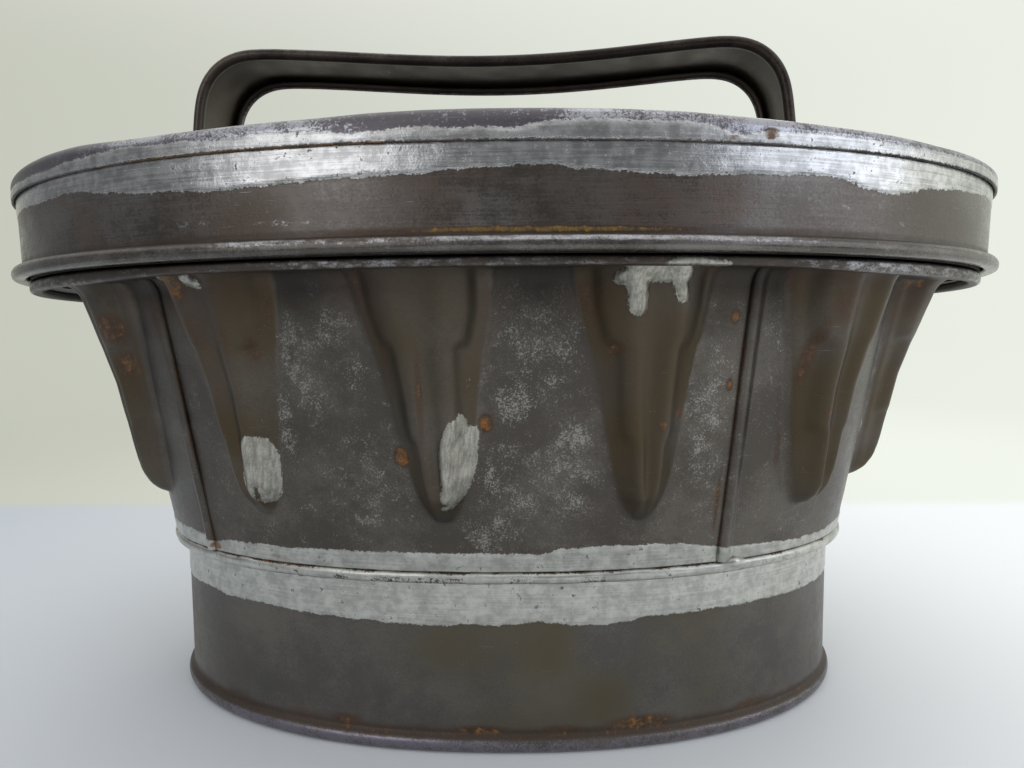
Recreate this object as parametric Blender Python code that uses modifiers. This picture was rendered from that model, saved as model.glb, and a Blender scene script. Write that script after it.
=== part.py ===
"""Oval pudding mould: a flared body of four fluted pressed panels on a foot, a brim with an upright collar,
and a lap-over lid with a strap handle. Metres, +Z up. The foot stands on Z = 0 and the front faces -Y.

Every level section is the foot's outline moved out by some distance, its offset, square to the outline.
"""

import math

import bmesh
import bpy
import numpy as np

# Driving dimensions. Each height is measured from the piece below.
FOOT_HALF_LENGTH = 0.0883
FOOT_HALF_WIDTH = 0.0516
SQUARENESS = 2.16  # 2 is an ellipse, more is squarer
SHEET = 0.0005
GAP = 0.0003  # between pieces that touch
FOOT_HEIGHT = 0.0386  # from the table to the folded seam
FOOT_WIRE = 0.0014  # radii of the wires in the rolled edges
FOOT_BEAD_OUT = 0.0014  # how far the foot's bead stands out of its wall
FOOT_BEAD_FLAT = 0.42  # half width of the bead's resting facet, as a share of its radius
FOLD_HEIGHT = 0.0026
FOLD_OUT = 0.0031
PLATE_EDGE = 0.006  # depth of the bottom plate's turned-down edge
PLATE_ROUND = 0.0016
BODY_HEIGHT = 0.062
BODY_STEP_IN = 0.00035  # the body's foot, in from the fold's rim
FLARE = 0.18  # how far the wall leans out for each metre up
LIP_OUT = 0.0027  # how far each panel's top edge turns out to meet the brim
LIP_HEIGHT = 0.0036
FLUTES_A_PANEL = 3
PANELS = 4
PRESSED = (1.1, 1.0, 0.89, 1.0)  # how deep each panel's flutes came out: right, back, left, front
FLUTE_LEAN = 0.0022  # how far each flute's mouth stands to the left of its tip
SEAM_AT = 0.103  # share of the way round, from the front towards +X, of the first seam
SEAM_WIDTH = 0.0026
SEAM_LIFT = 0.0012
HOOP_OFFSET = 0.0297
HOOP_WIRE = 0.0004
COLLAR_OUT = 0.0009  # the collar's outer face, outside the middle of the hoop
COLLAR_HEIGHT = 0.0213
LID_FIT = 0.00055  # between the collar and the lid's rolled edge
LID_WIRE = 0.00065
LID_DRAFT = 0.00075  # the lid's band opens by this much, bottom to top
LID_FLANGE = 0.005
LID_ROUND = 0.0022
LID_BEAD_CLEAR = 0.00025  # the lid's bead above the brim
HANDLE_WIDTH = 0.0236
HANDLE_WIRE = 0.0006
HANDLE_RISE = 0.0414  # from the lid to the left shoulder, at the strap's middle
HANDLE_DROP = 0.0018  # the right shoulder below the left
HANDLE_SAG = 0.0040
HANDLE_SAG_SKEW = 0.9  # below 1 the lowest point lies right of the middle
HANDLE_SPAN_LEFT = 0.0802
HANDLE_SPAN_RIGHT = 0.0726
HANDLE_SHOULDER = 0.0138  # radius
HANDLE_SPLAY = 0.1  # how far the legs lean out for each metre down
HANDLE_FOOT = 0.010
HANDLE_TURN = math.radians(-3)

STEPS_ROUND = 56

# A flute from its tip to the brim. Each station has its share of the flute's height, the half width where it
# leaves the wall, the half width of the inner relief, and how far the relief's two lobes stand off the wall.
FLUTE_TIP = 0.175  # share of the body's height
STATIONS = (
    (0.000, 0.0016, 0.0008, 0.0000),
    (0.018, 0.0029, 0.0012, 0.0029),
    (0.055, 0.0040, 0.0016, 0.0049),
    (0.110, 0.0052, 0.0020, 0.0059),
    (0.200, 0.0066, 0.0031, 0.0059),
    (0.335, 0.0078, 0.0036, 0.0059),
    (0.374, 0.0082, 0.0053, 0.0060),
    (0.540, 0.0096, 0.0057, 0.0061),
    (0.697, 0.0112, 0.0061, 0.0071),
    (0.736, 0.0118, 0.0084, 0.0075),
    (0.840, 0.0130, 0.0099, 0.0083),
    (1.000, 0.0143, 0.0104, 0.0095),
)
LEDGE_LIFT = 0.0024
LEDGE_SLOPE = 0.0014  # width of the step up from the wall to the ledge
VALLEY = 0.0016  # depth of the valley between the lobes

fold_bottom = FOOT_HEIGHT
body_bottom = fold_bottom + FOLD_HEIGHT + GAP
body_top = body_bottom + BODY_HEIGHT
collar_outer = HOOP_OFFSET + COLLAR_OUT
collar_top = body_top + GAP + COLLAR_HEIGHT
lid_under = collar_top + GAP
lid_top_z = lid_under + SHEET


def clear_scene():
    for obj in list(bpy.data.objects):
        bpy.data.objects.remove(obj)


def collection(name):
    made = bpy.data.collections.new(name)
    bpy.context.scene.collection.children.link(made)
    return made


def material(name, colour, roughness, metallic):
    made = bpy.data.materials.new(name)
    made.use_nodes = True
    shader = made.node_tree.nodes["Principled BSDF"]
    shader.inputs["Base Color"].default_value = (*colour, 1)
    shader.inputs["Roughness"].default_value = roughness
    shader.inputs["Metallic"].default_value = metallic
    made.diffuse_color = (*colour, 1)
    return made


def outline_table(offset, count=2880):
    """Closely spaced points of the foot's outline moved out by the offset, and the share of the way round of each."""
    turn = np.linspace(-math.pi, math.pi, count + 1)
    power = 2 / SQUARENESS
    x = FOOT_HALF_LENGTH * np.sign(np.sin(turn)) * np.abs(np.sin(turn)) ** power
    y = -FOOT_HALF_WIDTH * np.sign(np.cos(turn)) * np.abs(np.cos(turn)) ** power
    nx = np.sign(x) * np.abs(x / FOOT_HALF_LENGTH) ** (SQUARENESS - 1) / FOOT_HALF_LENGTH
    ny = np.sign(y) * np.abs(y / FOOT_HALF_WIDTH) ** (SQUARENESS - 1) / FOOT_HALF_WIDTH
    size = np.hypot(nx, ny)
    middle_x, middle_y = x + 0.005 * nx / size, y + 0.005 * ny / size
    length = np.concatenate([[0], np.cumsum(np.hypot(np.diff(middle_x), np.diff(middle_y)))])
    share = (length - np.interp(0, turn, length)) / length[-1]
    return x + offset * nx / size, y + offset * ny / size, share


def around(share, offset):
    """The point at this share of the way round, from the front towards +X, at this offset."""
    x, y, table = outline_table(0)
    x2, y2, _ = outline_table(1)
    share = (share + 0.5) % 1 - 0.5
    x, x2, y, y2 = (np.interp(share, table, row) for row in (x, x2, y, y2))
    return x + offset * (x2 - x), y + offset * (y2 - y)


def loop(offset, count=STEPS_ROUND):
    """Points of the outline at this offset, anticlockwise from above."""
    return [around(k / count, offset) for k in range(count)]


def link(obj, group, mat):
    for old in list(obj.users_collection):
        old.objects.unlink(obj)
    group.objects.link(obj)
    if mat:
        obj.data.materials.append(mat)
    return obj


def poly_curve(name, points, closed):
    curve = bpy.data.curves.new(name, "CURVE")
    curve.dimensions = "3D"
    spline = curve.splines.new("POLY")
    spline.points.add(len(points) - 1)
    for vertex, point in zip(spline.points, points):
        vertex.co = (*point, 0, 1)[:4] if len(point) == 2 else (*point, 1)
    spline.use_cyclic_u = closed
    return bpy.data.objects.new(name, curve)


def swept(name, path, profile, mat, closed=True):
    """A profile of (out, up) points swept round a path that lies flat and runs anticlockwise."""
    area = sum(a[0] * b[1] - b[0] * a[1] for a, b in zip(profile, profile[1:] + profile[:1]))
    section = poly_curve(name + "_section", profile[::-1] if area > 0 else profile, True)
    section.data.dimensions = "2D"
    link(section, guides, None)
    section.hide_render = True
    section.display_type = "WIRE"
    obj = poly_curve(name, path, closed)
    obj.data.bevel_mode = "OBJECT"
    obj.data.bevel_object = section
    obj.data.use_fill_caps = not closed
    return link(obj, parts, mat)


def band(name, profile, mat):
    """A profile of (offset, height) points swept round the mould."""
    return swept(name, loop(0), profile, mat)


def arc(centre, radius, start, end, count):
    """Points on a circle, both ends included, angles in degrees from outward, anticlockwise."""
    angles = [math.radians(start + (end - start) * k / count) for k in range(count + 1)]
    return [(centre[0] + radius * math.cos(a), centre[1] + radius * math.sin(a)) for a in angles]


def wire_section(centre, radius):
    return arc(centre, radius, 30, 330, 5)


def as_mesh(obj):
    """The curve object replaced by a mesh object of its shape, which can be cut."""
    graph = bpy.context.evaluated_depsgraph_get()
    mesh = bpy.data.meshes.new_from_object(obj.evaluated_get(graph))
    name, world, group = obj.name, obj.matrix_world.copy(), obj.users_collection[0]
    bpy.data.objects.remove(obj)
    mesh.name = name
    bm = bmesh.new()
    bm.from_mesh(mesh)
    bmesh.ops.remove_doubles(bm, verts=bm.verts, dist=1e-6)
    bm.to_mesh(mesh)
    bm.free()
    made = bpy.data.objects.new(name, mesh)
    made.matrix_world = world
    group.objects.link(made)
    return made


def smooth(obj, angle=35):
    obj.data.shade_smooth()
    obj.data.set_sharp_from_angle(angle=math.radians(angle))


def dished(name, offset, top, depth, rounding, mat):
    """An oval of sheet with its edge turned down: an open shell with a bevelled edge, then Solidify."""
    bm = bmesh.new()
    bmesh.ops.create_circle(bm, cap_ends=True, segments=STEPS_ROUND, radius=1)
    bm.verts.ensure_lookup_table()
    for vertex, (x, y) in zip(bm.verts, loop(offset)):
        vertex.co = (x, y, top)
    bmesh.ops.recalc_face_normals(bm, faces=bm.faces)
    if bm.faces[:][0].normal.z < 0:
        bmesh.ops.reverse_faces(bm, faces=bm.faces)
    edge = bmesh.ops.extrude_edge_only(bm, edges=list(bm.edges))
    moved = [part for part in edge["geom"] if isinstance(part, bmesh.types.BMVert)]
    bmesh.ops.translate(bm, verts=moved, vec=(0, 0, -depth))
    bmesh.ops.recalc_face_normals(bm, faces=bm.faces)
    if max(bm.faces, key=lambda face: len(face.verts)).normal.z < 0:
        bmesh.ops.reverse_faces(bm, faces=bm.faces)
    mesh = bpy.data.meshes.new(name)
    bm.to_mesh(mesh)
    bm.free()
    obj = link(bpy.data.objects.new(name, mesh), parts, mat)
    edge_round = obj.modifiers.new("edge", "BEVEL")
    edge_round.width = rounding
    edge_round.segments = 2
    edge_round.limit_method = "ANGLE"
    edge_round.angle_limit = math.radians(60)
    wall = obj.modifiers.new("sheet", "SOLIDIFY")
    wall.thickness = SHEET
    wall.offset = -1
    wall.use_even_offset = True
    smooth(obj)
    return obj


def wall_offset(z):
    """The plain wall's outer face."""
    return FOLD_OUT - BODY_STEP_IN + FLARE * (z - body_bottom)


def lip(z):
    """How far the panels' top edge has turned out at this height: a quarter of an ellipse."""
    up = max(z - (body_top - LIP_HEIGHT), 0) / LIP_HEIGHT
    return LIP_OUT * (1 - math.sqrt(max(1 - up * up, 0)))


def station(share):
    """Half widths of a flute and of its relief, and the lobes' lift, at a share of the flute's height."""
    table = np.array(STATIONS)
    return [float(np.interp(share, table[:, 0], table[:, k])) for k in (1, 2, 3)]


def flute_columns(share, pressed):
    """(across, lift) from one side of a flute to the other."""
    half, inner, lobe = station(share)
    ledge = LEDGE_LIFT * min(1, lobe / 0.0056)
    valley = max(lobe - VALLEY, 0)
    side = max(half, inner + 0.0009)
    right = [(0, valley), (0.55 * inner, lobe), (inner, ledge), (max(side - LEDGE_SLOPE, inner + 0.0005), ledge)]
    right = [(across, lift * pressed) for across, lift in right + [(side, 0)]]
    return [(-across, lift) for across, lift in right[:0:-1]] + right


def local_length(share, offset):
    """Metres round the outline for each whole turn of share, near this share."""
    step = 0.002
    (x1, y1), (x2, y2) = around(share - step, offset), around(share + step, offset)
    return math.hypot(x2 - x1, y2 - y1) / (2 * step)


def seam_columns(seam, metre):
    """The folded edge with which the end panels lap over the side panels."""
    shape = ((-0.5, 0.4), (-0.34, 0.9), (0, 1), (0.3, 0.75), (0.5, 0.1))
    return [(seam + across * SEAM_WIDTH * metre, lift * SEAM_LIFT) for across, lift in shape]


def panel_section(z, index):
    """(share, lift) of every column of one panel's outer face at one height. Panels 1 and 3 are the ends."""
    offset = wall_offset(z)
    tip = body_bottom + FLUTE_TIP * BODY_HEIGHT
    up = (z - tip) / (body_top - tip)
    start, end = (SEAM_AT + (index + k) / PANELS for k in (0, 1))
    start_metre, end_metre = (1 / local_length(seam, offset) for seam in (start, end))
    flutes = []
    for flute in range(FLUTES_A_PANEL):
        centre = start + (flute + 0.5) / (FLUTES_A_PANEL * PANELS)
        metre = 1 / local_length(centre, offset)
        lean = FLUTE_LEAN * max(up, 0) ** 1.25
        for across, lift in flute_columns(max(up, 0), PRESSED[index]):
            flutes.append((centre + (across - lean) * metre, lift))
        if flute < FLUTES_A_PANEL - 1:
            flutes.append((start + (flute + 1) / (FLUTES_A_PANEL * PANELS), 0))
    if index % 2:
        inset = SEAM_WIDTH / 2 + GAP
        return [(start + inset * start_metre, 0)] + flutes + [(end - inset * end_metre, 0)]
    last = [(2 * end - share, lift) for share, lift in reversed(seam_columns(end, end_metre))]
    return seam_columns(start, start_metre) + flutes + last


def panel(index, mat):
    """One pressed panel: a grid with its columns set across the flutes and its rows at the flutes' stations."""
    tip = body_bottom + FLUTE_TIP * BODY_HEIGHT
    rows = [body_bottom] + [tip + row[0] * (body_top - tip) for row in STATIONS[:-1]]
    rows += [body_top - LIP_HEIGHT, body_top - 0.4 * LIP_HEIGHT, body_top]
    sections = [panel_section(z, index) for z in rows]
    bm = bmesh.new()
    across, up = len(sections[0]) - 1, len(rows) - 1
    bmesh.ops.create_grid(bm, x_segments=across, y_segments=up, size=1)
    for vertex in bm.verts:
        column = round((vertex.co.x + 1) / 2 * across)
        row = round((vertex.co.y + 1) / 2 * up)
        share, lift = sections[row][column]
        x, y = around(share, wall_offset(rows[row]) + lift + lip(rows[row]))
        vertex.co = (x, y, rows[row])
    mesh = bpy.data.meshes.new(f"body_panel_{index + 1}")
    bm.to_mesh(mesh)
    bm.free()
    obj = link(bpy.data.objects.new(mesh.name, mesh), parts, mat)
    wall = obj.modifiers.new("sheet", "SOLIDIFY")
    wall.thickness = SHEET
    wall.offset = -1
    smooth(obj, 50)
    return obj


def make_body():
    for index in range(PANELS):
        panel(index, tinplate)
    # The foot's wall, its edge rolled in round a wire, and the folded seam at its top, made as one solid hem.
    roll = FOOT_WIRE + GAP + SHEET
    centre = (FOOT_BEAD_OUT - roll, roll)
    flat = FOOT_BEAD_FLAT * roll
    outer = arc(centre, roll, 55, -35, 2) + [(centre[0] + flat, 0), (centre[0] - flat, 0)]
    outer += arc(centre, roll, -145, -235, 2)
    inner = arc(centre, roll - SHEET, -235, 55, 5)
    fold_top = fold_bottom + FOLD_HEIGHT
    profile = outer + inner + [(-SHEET, 2 * roll)]
    profile += [(-SHEET, fold_top), (0.7 * FOLD_OUT, fold_top), (FOLD_OUT, fold_bottom + 0.75 * FOLD_HEIGHT)]
    profile += [(FOLD_OUT, fold_bottom + 0.25 * FOLD_HEIGHT), (0.7 * FOLD_OUT, fold_bottom), (0, fold_bottom)]
    profile += [(0, 2.1 * roll)]
    band("foot_band", profile, dark_tin)
    band("foot_rim_wire", wire_section(centre, FOOT_WIRE), iron_wire)
    dished("bottom_plate", -SHEET - GAP, fold_top, PLATE_EDGE, PLATE_ROUND, tinplate)
    # The brim: flat sheet out to the hoop, rolled down and in round its wire, cut out to the fluted outline.
    roll = HOOP_WIRE + GAP + SHEET
    centre = (HOOP_OFFSET, body_top - roll)
    profile = arc(centre, roll, 90, -190, 5) + arc(centre, roll - SHEET, -190, 90, 4)
    profile += [(0.3 * HOOP_OFFSET, body_top - SHEET), (0.3 * HOOP_OFFSET, body_top)]
    brim = as_mesh(band("brim", profile, brim_tin))
    cut = bpy.data.curves.new("brim_opening", "CURVE")
    cut.dimensions = "2D"
    cut.fill_mode = "BOTH"
    cut.extrude = 5 * SHEET
    spline = cut.splines.new("POLY")
    columns = [column for index in range(PANELS) for column in panel_section(body_top, index)]
    spline.points.add(len(columns) - 1)
    for vertex, (share, lift) in zip(spline.points, columns):
        x, y = around(share, wall_offset(body_top) + lift + lip(body_top) + GAP)
        vertex.co = (x, y, 0, 1)
    spline.use_cyclic_u = True
    opening = link(bpy.data.objects.new("brim_opening", cut), guides, None)
    opening.location.z = body_top
    bpy.context.view_layer.update()
    opening = as_mesh(opening)
    opening.hide_render = True
    opening.display_type = "WIRE"
    hole = brim.modifiers.new("opening", "BOOLEAN")
    hole.object = opening
    hole.operation = "DIFFERENCE"
    smooth(brim)
    band("hoop_wire", wire_section(centre, HOOP_WIRE), iron_wire)
    bottom = body_top + GAP
    inside = collar_outer - SHEET
    profile = [(inside, bottom), (collar_outer, bottom), (collar_outer, collar_top), (inside, collar_top)]
    band("mouth_collar", profile, brim_tin)


def make_lid(carrier):
    # The band, its lower edge rolled out round a wire.
    roll = LID_WIRE + GAP + SHEET
    inside = collar_outer + LID_FIT
    centre = (inside + roll, body_top + LID_BEAD_CLEAR + roll)
    top = lid_top_z - LID_ROUND
    inner_top = inside + LID_DRAFT
    profile = arc(centre, roll, 180, 458, 6) + arc(centre, roll - SHEET, 458, 180, 5)
    profile += [(inside + SHEET + LID_DRAFT * 0.4, centre[1] + 2 * roll), (inner_top + SHEET, top)]
    profile += [(inner_top, top), (inside + LID_DRAFT * 0.4, centre[1] + 2 * roll)]
    pieces = [band("lid_band", profile, lid_tin)]
    pieces.append(band("lid_rim_wire", wire_section(centre, LID_WIRE), iron_wire))
    flange = inner_top + SHEET + GAP + SHEET
    pieces.append(dished("lid_top", flange, lid_top_z, LID_FLANGE, LID_ROUND, lid_tin))
    # The handle: a strap with both edges rolled under round wires, drawn flat and stood up.
    roll = HANDLE_WIRE + GAP + SHEET
    path = handle_path(roll)
    half = HANDLE_WIDTH / 2 - roll
    pieces.append(swept("handle_strap", path, handle_section(half, roll), black_tin, closed=False))
    for name, across in (("handle_wire_front", half), ("handle_wire_back", -half)):
        pieces.append(swept(name, path, wire_section((0, across), HANDLE_WIRE), iron_wire, closed=False))
    for piece in pieces[-3:]:
        piece.rotation_euler = (math.pi / 2, 0, HANDLE_TURN)
    for piece in pieces:
        piece.parent = carrier


def handle_section(half, roll):
    """The strap across its width: a web on the outer side, and an edge rolled under at each side."""
    inner = roll - SHEET
    # The front roll, from the web over its outer side, round and under, back towards the web.
    outside = arc((0, half), roll, 20, 270, 5)
    inside = arc((0, half), inner, 270, 20, 4)
    half_section = [(roll, 0.5 * half), *outside, *inside, (roll - SHEET, 0.5 * half)]
    return half_section + [(x, -y) for x, y in reversed(half_section)]


def rounded(corners):
    """A run through (x, z, radius, steps) corners, each rounded off."""
    points = []
    for before, here, after in zip(corners, corners[1:], corners[2:]):
        corner = np.array(here[:2])
        back, on = np.array(before[:2]) - corner, np.array(after[:2]) - corner
        back, on = back / np.hypot(*back), on / np.hypot(*on)
        half = math.acos(np.clip(back @ on, -1, 1)) / 2
        radius, steps = here[2], here[3]
        if not radius:
            points.append(tuple(corner))
            continue
        middle = corner + (back + on) / np.hypot(*(back + on)) * radius / math.sin(half)
        start = corner + back * radius / math.tan(half) - middle
        end = corner + on * radius / math.tan(half) - middle
        turn = math.atan2(start[0] * end[1] - start[1] * end[0], start @ end)
        for k in range(steps + 1):
            a = turn * k / steps
            x = start[0] * math.cos(a) - start[1] * math.sin(a)
            z = start[0] * math.sin(a) + start[1] * math.cos(a)
            points.append((middle[0] + x, middle[1] + z))
    return [corners[0][:2]] + points + [corners[-1][:2]]


def handle_path(roll):
    """The strap's middle line from the right foot over to the left one, as seen from the front."""
    low = lid_top_z + GAP + roll
    high = lid_top_z + HANDLE_RISE
    right, left = HANDLE_SPAN_RIGHT, -HANDLE_SPAN_LEFT
    lean = HANDLE_SPLAY * (high - low)
    corners = [(right + lean + HANDLE_FOOT, low, 0, 0), (right + lean, low, 0.003, 2)]
    corners.append((right, high - HANDLE_DROP, HANDLE_SHOULDER, 5))
    for k in (1, 2, 3, 4, 5):
        share = k / 6
        level = high - HANDLE_DROP * (1 - share) - HANDLE_SAG * math.sin(math.pi * share**HANDLE_SAG_SKEW) ** 2
        corners.append((right + (left - right) * share, level, 0, 0))
    corners += [(left, high, HANDLE_SHOULDER, 5), (left - lean, low, 0.003, 2)]
    return rounded(corners + [(left - lean - HANDLE_FOOT, low, 0, 0)])


clear_scene()
parts = collection("pudding_mould")
guides = collection("guides")
tinplate = material("worn_tinplate", (0.115, 0.105, 0.09), 0.45, 0.9)
dark_tin = material("foot_tinplate", (0.105, 0.095, 0.085), 0.45, 0.9)
brim_tin = material("brim_tinplate", (0.12, 0.11, 0.10), 0.4, 0.9)
lid_tin = material("lid_tinplate", (0.15, 0.14, 0.13), 0.4, 0.95)
black_tin = material("blackened_strap", (0.05, 0.047, 0.042), 0.4, 0.85)
iron_wire = material("iron_wire", (0.09, 0.07, 0.06), 0.6, 0.8)
make_body()
lid_carrier = bpy.data.objects.new("lid", None)
parts.objects.link(lid_carrier)
make_lid(lid_carrier)
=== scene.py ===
"""Looks of an old oval pudding mould of soldered tinplate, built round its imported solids. Metres, +Z up.

Its front looks to -Y. Every sheet is a numpy surface: a point is named by its share of the way round the
oval, its offset from the foot's outline and its height. Marks such as solder and rust are worked out in
millimetres and kept as attributes, which the finishes then break up with noise."""

import math

import bmesh
import bpy
import numpy as np
from mathutils import Matrix, Vector


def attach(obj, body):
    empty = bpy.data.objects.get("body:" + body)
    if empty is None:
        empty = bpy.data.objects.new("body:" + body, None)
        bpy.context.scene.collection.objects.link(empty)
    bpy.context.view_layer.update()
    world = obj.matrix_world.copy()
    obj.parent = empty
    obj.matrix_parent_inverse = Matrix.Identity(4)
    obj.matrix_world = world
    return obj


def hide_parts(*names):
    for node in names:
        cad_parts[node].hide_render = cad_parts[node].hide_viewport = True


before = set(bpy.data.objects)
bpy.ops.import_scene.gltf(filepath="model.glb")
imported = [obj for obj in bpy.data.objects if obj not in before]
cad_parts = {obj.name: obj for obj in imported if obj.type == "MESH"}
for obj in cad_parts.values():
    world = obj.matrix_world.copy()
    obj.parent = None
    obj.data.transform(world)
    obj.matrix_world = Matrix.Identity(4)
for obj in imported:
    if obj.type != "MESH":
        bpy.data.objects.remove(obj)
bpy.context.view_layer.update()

# Sizes of the solids that the sheets stand for.
FOOT_HALF_LENGTH, FOOT_HALF_WIDTH, SQUARENESS = 0.0883, 0.0516, 2.16
SHEET, GAP = 0.0005, 0.0003
FOOT_HEIGHT, FOOT_WIRE, FOOT_BEAD_OUT = 0.0386, 0.0014, 0.0014
FOLD_HEIGHT, FOLD_OUT = 0.0026, 0.0031
BODY_HEIGHT, BODY_STEP_IN, FLARE = 0.062, 0.00035, 0.18
LIP_OUT, LIP_HEIGHT = 0.0027, 0.0036
PRESSED = (1.1, 1.0, 0.89, 1.0)
FLUTE_LEAN, FLUTE_TIP = 0.0022, 0.175
SEAM_AT, SEAM_WIDTH, SEAM_LIFT = 0.103, 0.0026, 0.0012
HOOP_OFFSET, HOOP_WIRE, COLLAR_OUT, COLLAR_HEIGHT = 0.0297, 0.0004, 0.0009, 0.0213
LID_FIT, LID_WIRE, LID_DRAFT = 0.00055, 0.00065, 0.00075
LID_FLANGE, LID_ROUND, LID_BEAD_CLEAR = 0.005, 0.0022, 0.00025
HANDLE_WIDTH, HANDLE_WIRE, HANDLE_RISE, HANDLE_DROP = 0.0236, 0.0006, 0.0414, 0.0018
HANDLE_SAG, HANDLE_SAG_SKEW = 0.0040, 0.9
HANDLE_SPAN_LEFT, HANDLE_SPAN_RIGHT, HANDLE_SHOULDER = 0.0802, 0.0726, 0.0138
HANDLE_SPLAY, HANDLE_FOOT, HANDLE_BEND, HANDLE_TURN = 0.1, 0.010, 0.003, math.radians(-3)
# A flute from its tip to the mouth: share of the way up, half widths of ledge and lobes, lift of the lobes.
STATIONS = np.array((
    (0.000, 0.0016, 0.0008, 0.0000), (0.018, 0.0029, 0.0012, 0.0029), (0.055, 0.0040, 0.0016, 0.0049),
    (0.110, 0.0052, 0.0020, 0.0059), (0.200, 0.0066, 0.0031, 0.0059), (0.342, 0.0078, 0.0036, 0.0059),
    (0.366, 0.0082, 0.0053, 0.0060), (0.540, 0.0096, 0.0057, 0.0061), (0.704, 0.0112, 0.0061, 0.0071),
    (0.728, 0.0118, 0.0084, 0.0075), (0.840, 0.0130, 0.0099, 0.0083), (1.000, 0.0143, 0.0104, 0.0095),
))
VALLEY, LEAST_LEDGE = 0.0016, 0.0009
# Parts of the full lift that swell, ledge step and lobe step take: on the end panels, then on the side ones.
LIFT_PARTS = (0.50, 0.22, 0.28), (0.75, 0.10, 0.15)
# On the side panels, front and back, lobes and valleys keep these parts of their height. At a flute's tip the
# lobes keep this part of that again, and all of it from this share of the way up.
SIDE_LOBE, SIDE_VALLEY, TIP_PART, TIP_REACH = 0.88, 0.8, 0.45, 0.13
# Hand work: how far the panels' lower edge sinks to the foot, and how high their slow and short waves are.
PANEL_SINK, WAVE, RIPPLE = 0.00022, 0.00011, 0.00003
# The hoop's section is a rounded square, the squarer the lower this power, and along the front it is beaten
# flatter by this part.
BEAD_SQUARE, HOOP_FLAT = 0.6, 0.3
# A soldered pool round each foot of the handle and the glob at the right seam's foot, in mm.
POOL_OUT, POOL_HALF_LENGTH, POOL_HALF_WIDTH, POOL_CORNER = 9.5, 6.5, 12.5, 2.2
GLOB_AT, GLOB_WIDTH, GLOB_HIGH = 53.2, 1.9, 1.1
# Columns of the meshes, across a panel and round the others. They keep each piece under 200,000 triangles.
COLUMNS = {"panel": 310, "foot": 760, "brim": 960, "collar": 480, "lid_band": 780, "lid_top": 700}
body_bottom = FOOT_HEIGHT + FOLD_HEIGHT + GAP
body_top = body_bottom + BODY_HEIGHT
tip = body_bottom + FLUTE_TIP * BODY_HEIGHT
collar_outer = HOOP_OFFSET + COLLAR_OUT
collar_top = body_top + GAP + COLLAR_HEIGHT
lid_top_z = collar_top + GAP + SHEET


# The oval.


def oval(count=5760):
    """Points of the foot's outline, a superellipse, their outward unit normals, and the share of the way
    round of each, from the front towards +X. Shares follow the length of the outline moved out by 5 mm. Also
    that length, in mm."""
    turn = np.linspace(-math.pi, math.pi, count + 1)
    power = 2 / SQUARENESS
    x = FOOT_HALF_LENGTH * np.sign(np.sin(turn)) * np.abs(np.sin(turn)) ** power
    y = -FOOT_HALF_WIDTH * np.sign(np.cos(turn)) * np.abs(np.cos(turn)) ** power
    nx = np.sign(x) * np.abs(x / FOOT_HALF_LENGTH) ** (SQUARENESS - 1) / FOOT_HALF_LENGTH
    ny = np.sign(y) * np.abs(y / FOOT_HALF_WIDTH) ** (SQUARENESS - 1) / FOOT_HALF_WIDTH
    size = np.hypot(nx, ny)
    nx, ny = nx / size, ny / size
    moved = 0.005
    run = np.hypot(np.diff(x + moved * nx), np.diff(y + moved * ny))
    run = np.concatenate([[0], np.cumsum(run)])
    return x, y, nx, ny, (run - np.interp(0, turn, run)) / run[-1], 1000 * run[-1]


OVAL_X, OVAL_Y, OVAL_NX, OVAL_NY, OVAL_SHARE, ROUND_MM = oval()


def place(share, offset, height):
    """Points at these shares of the way round, moved out from the outline by the offset, at these heights."""
    share, offset, height = np.broadcast_arrays(share, offset, height)
    share = (share + 0.5) % 1 - 0.5
    x, y, nx, ny = (np.interp(share, OVAL_SHARE, row) for row in (OVAL_X, OVAL_Y, OVAL_NX, OVAL_NY))
    size = np.hypot(nx, ny)
    return np.stack([x + offset * nx / size, y + offset * ny / size, height], -1)


def front(along):
    """Millimetres round the oval, brought between minus half and half of the way round, with the front at
    0."""
    return (along + ROUND_MM / 2) % ROUND_MM - ROUND_MM / 2


def unit(value):
    """A value held between 0 and 1."""
    return np.clip(value, 0, 1)


def ease(value, low=0.0, high=1.0):
    """0 below low, 1 above high, and a smooth S between them."""
    value = unit((value - low) / (high - low))
    return value * value * (3 - 2 * value)


def fade(value, low, high):
    """1 below low and 0 above high, the S turned over."""
    return 1 - ease(value, low, high)


def between(value, low, high, soft):
    """1 from low to high, easing to 0 over the soft distance outside them."""
    return ease(value, low - soft, low) * fade(value, high, high + soft)


def soften(field, passes):
    """A field rounded off: each value becomes half itself and a quarter of each neighbour, along both axes in
    turn."""
    for _ in range(passes):
        wide = np.pad(field, 1, mode="edge")[:, 1:-1]
        field = (wide[:-2] + 2 * wide[1:-1] + wide[2:]) / 4
        wide = np.pad(field, 1, mode="edge")[1:-1]
        field = (wide[:, :-2] + 2 * wide[:, 1:-1] + wide[:, 2:]) / 4
    return field


def wander(along, pitch, seed):
    """Heights from -1 to 1 that wander round the oval: one random value for each pitch in mm, joined by
    smooth steps."""
    count = max(3, round(ROUND_MM / pitch))
    values = np.random.default_rng(seed).uniform(-1, 1, count)
    at = along / ROUND_MM * count
    low = np.floor(at).astype(int)
    step = ease(at - low)
    return values[low % count] * (1 - step) + values[(low + 1) % count] * step


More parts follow.
